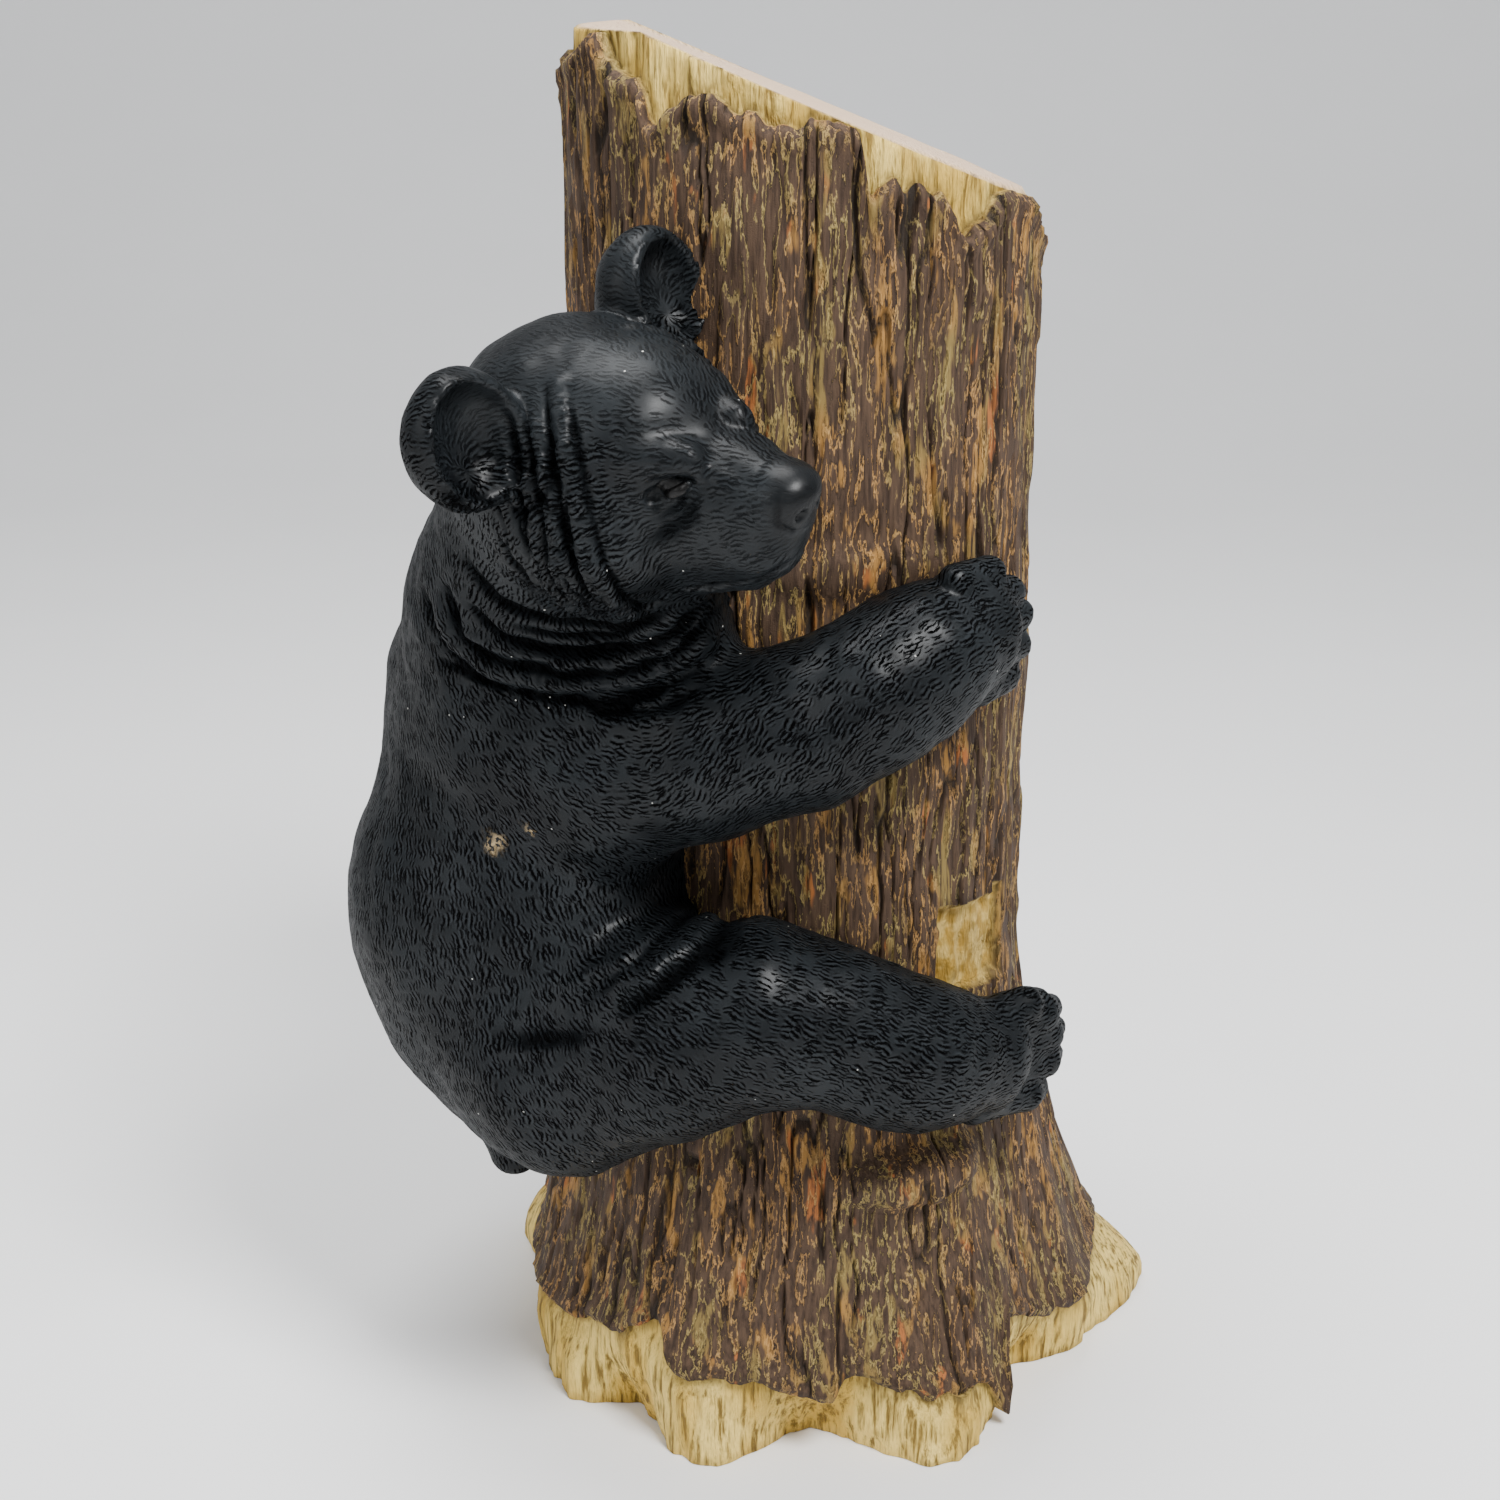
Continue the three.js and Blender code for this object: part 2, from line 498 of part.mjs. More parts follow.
// Thins a closed mesh to a number of triangles, collapsing first the edges that change it least.
function thin({ points, triangles }, target, weight) {
  const faces = triangles.map((t) => [...t]);
  const around = points.map(() => new Set());
  const errors = points.map(() => new Float64Array(10));
  faces.forEach((face, f) => {
    const [p, q, r] = face.map((n) => points[n]);
    const n = cross(p, q, r);
    const area = Math.hypot(...n) || 1e-12;
    const [a, b, c] = n.map((v) => v / area);
    const d = -(a * p[0] + b * p[1] + c * p[2]);
    const share = area * weight(p);
    const plane = [a * a, a * b, a * c, a * d, b * b, b * c, b * d, c * c, c * d, d * d];
    for (const v of face) {
      around[v].add(f);
      plane.forEach((term, i) => { errors[v][i] += term * share; });
    }
  });
  const cost = (e, [x, y, z]) => e[0] * x * x + 2 * e[1] * x * y + 2 * e[2] * x * z + 2 * e[3] * x + e[4] * y * y
    + 2 * e[5] * y * z + 2 * e[6] * y + e[7] * z * z + 2 * e[8] * z + e[9];
  const best = (a, b) => {
    const e = errors[a].map((v, i) => v + errors[b][i]);
    const middle = points[a].map((v, i) => (v + points[b][i]) / 2);
    const m = new THREE.Matrix3().set(e[0], e[1], e[2], e[1], e[4], e[5], e[2], e[5], e[7]);
    const trace = e[0] + e[4] + e[7];
    const options = [middle, points[a], points[b]];
    if (Math.abs(m.determinant()) > 1e-4 * trace ** 3) {
      const v = new THREE.Vector3(-e[3], -e[6], -e[8]).applyMatrix3(m.invert());
      if (Math.hypot(v.x - middle[0], v.y - middle[1], v.z - middle[2]) < 2 * CELL) options.unshift([v.x, v.y, v.z]);
    }
    let found = null;
    for (const option of options) {
      const c = cost(e, option);
      if (!found || c < found.cost) found = { cost: c, point: option };
    }
    const length2 = points[a].reduce((sum, v, i) => sum + (v - points[b][i]) ** 2, 0);
    return { cost: Math.max(0, found.cost) + 1e-4 * length2 * trace, point: found.point };
  };
  const stamp = new Uint32Array(points.length);
  const queue = new Queue();
  const enqueue = (a, b) => {
    const option = best(a, b);
    queue.push([option.cost, a, b, stamp[a], stamp[b], option.point]);
  };
  const neighbours = (v) => {
    const found = new Set();
    for (const f of around[v]) for (const n of faces[f]) if (n !== v) found.add(n);
    return found;
  };
  points.forEach((_, a) => { for (const b of neighbours(a)) if (a < b) enqueue(a, b); });
  const flips = (v, other, to) => {
    for (const f of around[v]) {
      if (!faces[f].includes(other)) {
        const before = cross(...faces[f].map((n) => points[n]));
        const after = cross(...faces[f].map((n) => (n === v ? to : points[n])));
        const dot = before[0] * after[0] + before[1] * after[1] + before[2] * after[2];
        if (dot <= 0.3 * Math.hypot(...before) * Math.hypot(...after)) return true;
      }
    }
    return false;
  };
  let left = faces.length;
  while (left > target && queue.items.length) {
    const [, a, b, stampA, stampB, to] = queue.pop();
    if (stamp[a] !== stampA || stamp[b] !== stampB || !around[a].size || !around[b].size) continue;
    const nearB = neighbours(b);
    const shared = [...neighbours(a)].filter((n) => nearB.has(n));
    if (shared.length !== 2 || flips(a, b, to) || flips(b, a, to)) continue;
    for (const f of [...around[b]]) {
      if (faces[f].includes(a)) {
        for (const n of faces[f]) around[n].delete(f);
        left -= 1;
      } else {
        faces[f] = faces[f].map((n) => (n === b ? a : n));
        around[a].add(f);
      }
    }
    around[b].clear();
    points[a] = to;
    errors[a].forEach((v, i) => { errors[a][i] = v + errors[b][i]; });
    stamp[b] += 1;
    stamp[a] += 1;
    for (const n of neighbours(a)) enqueue(a, n);
  }
  const used = new Map();
  const kept = [];
  const alive = new Set();
  around.forEach((set) => set.forEach((f) => alive.add(f)));
  const renumber = (n) => {
    if (!used.has(n)) used.set(n, kept.push(points[n]) - 1);
    return used.get(n);
  };
  return { triangles: [...alive].sort((f, g) => f - g).map((f) => faces[f].map(renumber)), points: kept };
}

function bearMesh() {
  const reach = TRUNK_RADIUS + 0.32 * BEAR_SIZE;
  const low = [-reach, -reach, BEAR_LIFT - 0.1 * BEAR_SIZE];
  const high = [TRUNK_RADIUS + 0.15 * BEAR_SIZE, TRUNK_RADIUS + 0.2 * BEAR_SIZE, BEAR_LIFT + 1.1 * BEAR_SIZE];
  const fine = polygonise(bearForms(), low, high, CELL);
  const face = new THREE.Vector3(0.1, 0, -0.08).multiplyScalar(BEAR_SIZE).applyMatrix4(headFrame());
  const near = 0.25 * BEAR_SIZE;
  const weight = (p) => 1 + HEAD_DETAIL * smooth(2 - Math.hypot(p[0] - face.x, p[1] - face.y, p[2] - face.z) / near);
  return thin(fine, BEAR_TRIANGLES, weight);
}

const wasm = await Module();
wasm.setup();

function solid({ points, triangles }) {
  const mesh = new wasm.Mesh({
    numProp: 3,
    vertProperties: new Float32Array(points.flat()),
    triVerts: new Uint32Array(triangles.flat()),
  });
  return new wasm.Manifold(mesh);
}

function geometryOf(manifold) {
  const mesh = manifold.getMesh();
  const geometry = new THREE.BufferGeometry();
  geometry.setAttribute('position', new THREE.BufferAttribute(new Float32Array(mesh.vertProperties), 3));
  geometry.setIndex(new THREE.BufferAttribute(new Uint32Array(mesh.triVerts), 1));
  geometry.computeVertexNormals();
  return geometry;
}

const statue = solid(trunkMesh()).add(solid(bearMesh()));
const paint = new THREE.MeshStandardMaterial({ color: BODY_BLACK, roughness: 0.6, metalness: 0 });
const casting = new THREE.Mesh(geometryOf(statue), paint);
casting.name = 'bear_and_trunk_casting';

const group = new THREE.Group();
group.add(casting);
export default group;
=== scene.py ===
"""Climbing bear statue: a black bear cub hugging a slant-cut tree trunk, cast in resin and painted.

Laid out as a Blender add-on and run as a script. Every length is in metres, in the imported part's
own frame: the origin is on the underside on the trunk's axis, +Z is up and the front faces -Y.
"""

import math

import bpy
import numpy as np
from mathutils import Euler, Matrix, Vector


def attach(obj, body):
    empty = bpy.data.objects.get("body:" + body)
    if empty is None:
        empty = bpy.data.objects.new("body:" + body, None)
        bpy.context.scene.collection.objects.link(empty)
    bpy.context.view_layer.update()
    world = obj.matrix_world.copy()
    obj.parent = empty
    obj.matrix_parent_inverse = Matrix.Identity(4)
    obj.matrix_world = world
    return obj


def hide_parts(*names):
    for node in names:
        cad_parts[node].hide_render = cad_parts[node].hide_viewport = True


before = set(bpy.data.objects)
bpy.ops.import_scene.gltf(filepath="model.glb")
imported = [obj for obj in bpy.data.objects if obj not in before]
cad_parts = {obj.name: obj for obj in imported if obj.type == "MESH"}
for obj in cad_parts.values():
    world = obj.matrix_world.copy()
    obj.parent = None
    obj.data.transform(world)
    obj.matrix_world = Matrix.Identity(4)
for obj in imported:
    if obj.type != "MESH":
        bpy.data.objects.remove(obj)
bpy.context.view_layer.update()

bl_info = {
    "name": "Climbing bear statue",
    "version": (1, 0, 0),
    "blender": (4, 5, 0),
    "location": "View3D > Sidebar > Statue",
    "description": "Builds the dressed climbing bear statue over its packed solid",
    "category": "Add Mesh",
}

CASTING = "bear_and_trunk_casting"
# Stands for a distance that nothing reaches.
FAR = 1.0

# Trunk outlines, azimuth in degrees from the front, positive towards +X.
# Root tips on the floor and bark flare above them: [azimuth, radius].
ROOT_TIPS = [
    (-160, 0.182), (-125, 0.240), (-96, 0.178), (-56, 0.187), (-42, 0.160), (-21, 0.193),
    (3, 0.142), (29, 0.204), (63, 0.158), (80, 0.209), (103, 0.264), (138, 0.190), (172, 0.228),
]
BARK_FLARE = [
    (-160, 0.200), (-125, 0.232), (-95, 0.200), (-56, 0.198), (-20, 0.207), (3, 0.192),
    (30, 0.207), (60, 0.200), (80, 0.224), (103, 0.250), (140, 0.202), (172, 0.226),
]
# Ragged bark edges: [azimuth, height of the lower edge] and [azimuth, depth below the cut].
BARK_LOW_EDGE = [
    (-165, 0.062), (-140, 0.044), (-110, 0.070), (-74, 0.050), (-44, 0.069), (-31, 0.088),
    (-26, 0.058), (-12, 0.062), (6, 0.047), (10, 0.064), (27, 0.044), (40, 0.040), (45, 0.009),
    (49, 0.072), (66, 0.049), (77, 0.043), (100, 0.060), (130, 0.046),
]
BARK_TOP_EDGE = [
    (-170, 0.020), (-150, 0.034), (-125, 0.012), (-100, 0.028), (-78, 0.016), (-63, 0.003),
    (-58, 0.003), (-55, 0.018), (-44, 0.024), (-37, 0.044), (-32, 0.028), (-27, 0.015),
    (-11, 0.018), (-3, 0.017), (1, 0.006), (11, 0.003), (14, 0.033), (20, 0.020), (31, 0.019),
    (39, 0.037), (50, 0.012), (57, 0.004), (72, 0.004), (90, 0.022), (112, 0.010), (140, 0.038),
]
# About how far one degree reaches round the trunk.
DEGREE_LENGTH = 0.0025
# Bare patch above the hind foot: azimuth, half width in degrees, lowest and highest height.
PATCH = (50, 14, 0.300, 0.362)
# Rough ledges under the foot and over the forearm: azimuth, half width, height, half height, rise.
LEDGES = [(27, 24, 0.192, 0.024, 0.015), (12, 30, 0.590, 0.020, 0.005)]

# Height that the rows of the bark start from, before they bend to its ragged lower edge.
BARK_FOOT = 0.055
# How closely the rows gather towards the ragged edges, and how far those edges waver.
EDGE_PULL = 10
EDGE_WAVER = 0.0055
# How far the bark's very edge is tucked in, and the rise of the rim behind it.
EDGE_TUCK = 0.0025
RIM_RISE = 0.003
# Rows of points on the bare wood at the foot and at the top, and rings across the cut as shares.
FOOT_ROWS = 9
TOP_ROWS = 7
CUT_RINGS = (0.97, 0.9, 0.8, 0.68, 0.55, 0.42, 0.3, 0.18, 0.07)
# Relief of the bark: layers from its middle level up, the rise of one, furrows and swell.
BARK_LAYERS = 2.6
LAYER_RISE = 0.0019
FURROW_DEPTH = 0.004
BARK_SWELL = 0.0022
# Rise of a gouge's flutes and facets on the wood.
FLUTES = 0.004
FACETS = 0.0025
# How far the shade in the wood reaches from the bark's edge.
EDGE_SHADE = 0.006

# Colours as (red, green, blue): paints, and painted shade where marked.
# Pale specks scattered over the bear's paint.
PALE_SPECK = (0.6, 0.6, 0.56)
BARE_RESIN = (0.36, 0.27, 0.15)
GLOSS_BLACK = (0.0015, 0.0013, 0.0012)
BARK_DARK = (0.03, 0.0165, 0.0098)
BARK_LIGHT = (0.078, 0.046, 0.027)
GOLD = (0.36, 0.18, 0.04)
OLIVE_GOLD = (0.23, 0.16, 0.045)
RUST = (0.4, 0.13, 0.03)
TAN = (0.44, 0.24, 0.08)
OLIVE_TAN = (0.34, 0.25, 0.085)
# Painted shade in the bark's furrows and at the foot of its plates' raised edges.
FURROW_SHADE_BROWN = (0.012, 0.008, 0.005)
CREAM = (0.93, 0.68, 0.19)
STAINED_CREAM = (0.66, 0.42, 0.075)
# Painted shade in the low parts of the gouges on the bare wood.
GOUGE_SHADE_OLIVE = (0.17, 0.1, 0.016)
WORN_DARK = (0.36, 0.21, 0.035)
WORN_LIGHT = (0.66, 0.46, 0.14)
# Painted shade on the bare wood along the bark's edge.
BARK_EDGE_SHADE = (0.13, 0.085, 0.022)
SAWN_PALE = (0.8, 0.58, 0.4)

# Bear forms. Places are [turn from the bear's middle plane in degrees, lift off the bark, height],
# or [x forward, y to the left, z up] from between the ears. All but the turns are shares of its size.
ARM = [
    ((12, 0.085, 0.55), 0.1), ((26, 0.06, 0.525), 0.095), ((46, 0.055, 0.548), 0.076),
    ((64, 0.05, 0.57), 0.068), ((78, 0.046, 0.6), 0.064), ((88, 0.042, 0.627), 0.06),
    ((99, 0.036, 0.641), 0.053),
]
LEG = [
    ((20, 0.085, 0.235), 0.125), ((40, 0.075, 0.275), 0.098), ((56, 0.07, 0.3), 0.082),
    ((70, 0.065, 0.285), 0.07), ((80, 0.062, 0.258), 0.066), ((88, 0.06, 0.242), 0.063),
    ((101, 0.056, 0.224), 0.056),
]
# Toes, as [turn of the tip, height].
PAW_TOES = [(105, 0.694), (111, 0.671), (114, 0.646), (114, 0.619), (111, 0.593)]
FOOT_TOES = [(121, 0.266), (127, 0.247), (129, 0.222), (128, 0.196), (122, 0.17)]
# Thick folds on the cheeks, and the one round the neck.
CHEEK_FOLDS = [
    [(0.056, 0.044, 0.0), (0.078, 0.075, -0.034), (0.083, 0.088, -0.07), (0.086, 0.098, -0.127),
     (0.083, 0.09, -0.163), (0.055, 0.053, -0.205)],
    [(0.054, 0.075, -0.026), (0.061, 0.088, -0.052), (0.066, 0.096, -0.076), (0.061, 0.107, -0.121),
     (0.03, 0.078, -0.19)],
]
NECK_FOLD = [
    (14, 0.172, 0.668), (19, 0.159, 0.638), (28, 0.128, 0.622), (37, 0.097, 0.628), (46, 0.078, 0.656),
]
# Web behind the head, which closes the gap between head and trunk.
HEAD_WEB = [(24, 0.0, 0.93), (28, 0.015, 0.84), (34, 0.015, 0.74), (36, 0.01, 0.64)]


# Numbers spread over space.

def ease(t):
    t = np.clip(t, 0.0, 1.0)
    return t * t * (3.0 - 2.0 * t)


def wrap(degrees):
    return (degrees + 180.0) % 360.0 - 180.0


def unit(vectors):
    return vectors / (np.linalg.norm(vectors, axis=1)[:, None] + 1e-12)


def lattice(counts):
    """Every whole-number place below the counts."""
    return np.stack(np.meshgrid(*[np.arange(n) for n in counts], indexing="ij"), -1).reshape(-1, 3)


def hashed(ix, iy, iz, seed):
    """Random value from -1 to 1 for each lattice corner."""
    h = ix * 374761393 + iy * 668265263 + iz * 2147483647 + seed * 1274126177
    h = (h ^ (h >> 13)) * 1103515245
    h = (h ^ (h >> 16)) & 0xFFFFFF
    return h / float(0x7FFFFF) - 1.0


def noise(points, seed=0):
    """Smooth noise from -1 to 1, one unit to a lattice cell."""
    base = np.floor(points).astype(np.int64)
    part = ease(points - base)
    total = np.zeros(len(points))
    for corner in range(8):
        bits = np.array([corner & 1, (corner >> 1) & 1, corner >> 2])
        weight = np.prod(np.where(bits, part, 1.0 - part), axis=1)
        total += weight * hashed(*(base + bits).T, seed)
    return total


def layered_noise(points, layers=3, seed=0):
    total = np.zeros(len(points))
    size = 1.0
    for layer in range(layers):
        total += size * noise(points / size, seed + layer)
        size *= 0.5
    return total / (2.0 - 2.0 * size)


# The bear's distance field: negative inside.

class Ball:
    """Ellipsoid in a frame of its own."""

    def __init__(self, place, centre, radii):
        self.inverse = np.array((place @ Matrix.Translation(centre)).inverted())
        self.radii = np.array(radii)

    def distance(self, points):
        local = points @ self.inverse[:3, :3].T + self.inverse[:3, 3]
        scaled = local / self.radii
        near = np.sqrt((scaled ** 2).sum(1))
        slope = np.sqrt(((scaled / self.radii) ** 2).sum(1)) + 1e-9
        return near * (near - 1.0) / slope


class Limb:
    """Rounded cone from one point to another."""

    def __init__(self, start, end, start_radius, end_radius):
        self.start, self.end = np.array(start), np.array(end)
        self.start_radius, self.end_radius = start_radius, end_radius

    def distance(self, points):
        along = self.end - self.start
        t = np.clip((points - self.start) @ along / (along @ along), 0.0, 1.0)
        gap = np.linalg.norm(points - self.start - t[:, None] * along, axis=1)
        return gap - (self.start_radius + (self.end_radius - self.start_radius) * t)


def soft_min(a, b, blend):
    h = np.maximum(blend - np.abs(a - b), 0.0) / blend
    return np.minimum(a, b) - h * h * blend / 4.0


def joined(total, distance, blend, cut):
    """A form added to the distance so far, or cut from it."""
    if cut:
        return -soft_min(-total, distance, blend)
    return soft_min(total, distance, blend)


class BearForms:
    """The bear's forms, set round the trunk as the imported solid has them."""

    def __init__(self, bear, trunk):
        self.size = bear.size
        self.lift = bear.lift
        self.azimuth = math.degrees(bear.azimuth)
        self.trunk_radius = trunk.radius
        self.core = trunk.radius - trunk.bark_thickness - bear.hug_depth
        heading = math.radians(self.azimuth + 90.0) + bear.head_turn
        place = Matrix.Translation(self.beside(29.3, 0.151, 0.903))
        turn = Matrix.Rotation(heading, 4, "Z") @ Matrix.Rotation(-bear.head_nod, 4, "Y")
        self.head = place @ turn @ Matrix.Rotation(bear.head_tilt, 4, "X")
        self.forms = []
        self.body()
        for side in (1, -1):
            self.limbs(side)
        self.neck_and_head()

    def beside(self, turn, lift, height):
        azimuth = math.radians(self.azimuth + turn)
        radius = self.trunk_radius + lift * self.size
        z = self.lift + height * self.size
        return Vector((radius * math.sin(azimuth), -radius * math.cos(azimuth), z))

    def outward(self, turn, lift, height):
        angle = math.radians(self.azimuth + turn - 90.0)
        return Matrix.Translation(self.beside(turn, lift, height)) @ Matrix.Rotation(angle, 4, "Z")

    def in_head(self, x, y, z):
        return self.head @ (Vector((x, y, z)) * self.size)

    def add(self, form, blend, cut=False):
        self.forms.append((form, blend * self.size, cut))

    def ball(self, place, centre, radii, blend, cut=False):
        centre = Vector(centre) * self.size
        self.add(Ball(place, centre, [r * self.size for r in radii]), blend, cut)

    def line(self, points, radii, blend, cut=False):
        for i in range(len(points) - 1):
            start_radius, end_radius = radii[i] * self.size, radii[i + 1] * self.size
            self.add(Limb(points[i], points[i + 1], start_radius, end_radius), blend, cut)

    def body(self):
        self.ball(self.outward(0, 0.05, 0.53), (0, 0, 0), (0.145, 0.178, 0.165), 0.06)
        self.ball(self.outward(-2, 0.068, 0.34), (0, 0, 0), (0.176, 0.185, 0.2), 0.06)
        self.ball(self.outward(0, 0.045, 0.225), (0, 0, 0), (0.146, 0.17, 0.122), 0.06)
        self.line([self.beside(3, 0.108, 0.155), self.beside(3, 0.103, 0.088)], [0.046, 0.025], 0.03)

    def limbs(self, side):
        for chain in (ARM, LEG):
            points = [self.beside(side * turn, lift, height) for (turn, lift, height), _ in chain]
            self.line(points, [radius for _, radius in chain], 0.03)
        palm = [self.beside(side * 104, 0.01, 0.66), self.beside(side * 104, 0.01, 0.61)]
        self.line(palm, [0.035, 0.035], 0.02)
        for reach, height in PAW_TOES:
            root = self.beside(side * (reach - 11), 0.052, height)
            tip = self.beside(side * reach, 0.036, height - 0.002)
            self.line([root, tip], [0.018, 0.016], 0.005)
        for reach, height in FOOT_TOES:
            root = self.beside(side * (reach - 22), 0.062, 0.22 + 0.8 * (height - 0.22))
            knuckle = self.beside(side * (reach - 9), 0.069, height)
            nail = self.beside(side * (reach - 4), 0.066, height - 0.005)
            claw = self.beside(side * reach, 0.056, height - 0.011)
            self.line([root, knuckle], [0.023, 0.0195], 0.006)
            self.line([knuckle, nail], [0.0185, 0.014], 0.004)
            self.line([nail, claw], [0.0125, 0.005], 0.003)

    def neck_and_head(self):
        here = self.head
        self.line([self.beside(8, 0.065, 0.66), self.in_head(-0.01, 0, -0.1)], [0.125, 0.098], 0.05)
        self.ball(here, (0, 0, -0.08), (0.118, 0.11, 0.106), 0.03)
        self.ball(here, (0.075, 0, -0.06), (0.078, 0.083, 0.07), 0.03)
        for side in (1, -1):
            self.ball(here, (0.04, side * 0.062, -0.125), (0.08, 0.055, 0.07), 0.03)
        self.line([self.in_head(0.1, 0, -0.098), self.in_head(0.206, 0, -0.112)], [0.068, 0.036], 0.02)
        self.line([self.in_head(0.08, 0, -0.15), self.in_head(0.178, 0, -0.15)], [0.054, 0.038], 0.03)
        self.line([self.in_head(0.06, 0, -0.176), self.in_head(0.158, 0, -0.174)], [0.044, 0.027], 0.012)
        self.line([self.in_head(0.03, 0, -0.17), self.beside(38, 0.036, 0.62)], [0.066, 0.052], 0.03)
        self.ball(here, (0.228, 0, -0.1), (0.0235, 0.027, 0.0185), 0.014)
        self.line([self.beside(*p) for p in HEAD_WEB], [0.042] * len(HEAD_WEB), 0.03)
        self.line([self.beside(*p) for p in NECK_FOLD], [0.015] * len(NECK_FOLD), 0.012)
        for side in (1, -1):
            spot = Matrix.Translation(Vector((0.012, side * 0.12, -0.006)) * self.size)
            ear = here @ spot @ Matrix.Rotation(math.radians(side * 8), 4, "Z")
            self.ball(ear, (0, 0, 0), (0.045, 0.052, 0.061), 0.012)
            self.ball(ear, (0.042, 0, 0.003), (0.05, 0.044, 0.054), 0.006, cut=True)
            brow = [self.in_head(0.12, side * 0.053, -0.05), self.in_head(0.16, side * 0.031, -0.06)]
            socket = [self.in_head(0.137, side * 0.06, -0.083), self.in_head(0.166, side * 0.045, -0.072)]
            self.line(brow, [0.014, 0.0115], 0.012)
            self.line(socket, [0.0085, 0.0075], 0.004, cut=True)
            self.ball(here, (0.15, side * 0.044, -0.079), (0.015, 0.01, 0.008), 0.002)
            self.ball(here, (0.247, side * 0.012, -0.116), (0.008, 0.006, 0.006), 0.003, cut=True)
            for fold in CHEEK_FOLDS:
                path = [self.in_head(x, side * y, z) for x, y, z in fold]
                self.line(path, [0.0095] * len(fold), 0.008)


class BearField:
    """Distance to the bear, worked out block by block from the forms that come near."""

    def __init__(self, forms, low, high, block):
        self.forms, self.low, self.block = forms, np.array(low), block
        self.counts = np.ceil((np.array(high) - self.low) / block).astype(int) + 1
        middles = self.low + (lattice(self.counts) + 0.5) * block
        reach = block * math.sqrt(3.0) / 2.0
        away = [form.distance(middles) for form, _, _ in forms.forms]
        self.near = [d < 2.2 * reach + blend for d, (_, blend, _) in zip(away, forms.forms)]
        total = np.full(len(middles), FAR)
        for d, (_, blend, cut) in zip(away, forms.forms):
            total = joined(total, d, blend, cut)
        total = np.maximum(total, forms.core - np.hypot(middles[:, 0], middles[:, 1]))
        self.middle_value = total
        self.close = np.abs(total) < 1.5 * reach

    def block_of(self, points):
        spot = np.clip(np.floor((points - self.low) / self.block).astype(int), 0, self.counts - 1)
        return (spot[:, 0] * self.counts[1] + spot[:, 1]) * self.counts[2] + spot[:, 2]

    def distance(self, points):
        home = self.block_of(points)
        total = np.full(len(points), FAR)
        for (form, blend, cut), near in zip(self.forms.forms, self.near):
            here = np.nonzero(near[home])[0]
            if len(here) > 0:
                total[here] = joined(total[here], form.distance(points[here]), blend, cut)
        return np.maximum(total, self.forms.core - np.hypot(points[:, 0], points[:, 1]))

    def normals(self, points, step=0.0008):
        slope = np.empty_like(points)
        for axis in range(3):
            offset = np.zeros(3)
            offset[axis] = step
            slope[:, axis] = self.distance(points + offset) - self.distance(points - offset)
        return unit(slope)


def surface_of(field, low, high, cell):
    """Closed mesh where the field is nought: one point to each cell that the surface crosses."""
    low = np.array(low)
    counts = np.ceil((np.array(high) - low) / cell).astype(int) + 1
    places = low + lattice(counts) * cell
    home = field.block_of(places)
    value = np.where(field.middle_value[home] < 0, -FAR, FAR)
    close = np.nonzero(field.close[home])[0]
    value[close] = field.distance(places[close])
    value = value.reshape(counts)

    corners = np.array([[i & 1, (i >> 1) & 1, i >> 2] for i in range(8)])
    cells = counts - 1
    inner = np.zeros(cells, np.int8)
    for x, y, z in corners:
        inner += (value < 0)[x:x + cells[0], y:y + cells[1], z:z + cells[2]]
    active = np.argwhere((inner > 0) & (inner < 8))
    at_corner = np.stack([value[tuple((active + c).T)] for c in corners], 1)
    total = np.zeros((len(active), 3))
    count = np.zeros(len(active))
    for a in range(8):
        for b in range(a + 1, 8):
            if np.abs(corners[a] - corners[b]).sum() != 1:
                continue
            va, vb = at_corner[:, a], at_corner[:, b]
            crossed = (va < 0) != (vb < 0)
            t = np.where(crossed, va / np.where(crossed, va - vb, 1.0), 0.0)
            spot = corners[a] + t[:, None] * (corners[b] - corners[a])
            total += np.where(crossed[:, None], spot, 0.0)
            count += crossed
    points = low + (active + total / count[:, None]) * cell

    number = np.full(cells, -1)
    number[tuple(active.T)] = np.arange(len(active))
    quads = []
    for axis in range(3):
        step = np.zeros(3, int)
        step[axis] = 1
        a = value[tuple(slice(0, counts[i] - step[i]) for i in range(3))]
        b = value[tuple(slice(step[i], counts[i]) for i in range(3))]
        crossing = np.argwhere((a < 0) != (b < 0))
        leaves = a[tuple(crossing.T)] < 0
        u, w = (axis + 1) % 3, (axis + 2) % 3
        du, dw = np.zeros(3, int), np.zeros(3, int)
        du[u], dw[w] = 1, 1
        ring = [crossing - du - dw, crossing - dw, crossing, crossing - du]
        quad = np.stack([number[tuple(r.T)] for r in ring], 1)
        quads.append(np.where(leaves[:, None], quad, quad[:, ::-1]))
    quads = np.concatenate(quads)
    triangles = np.concatenate([quads[:, [0, 1, 2]], quads[:, [0, 2, 3]]])
    return points, triangles


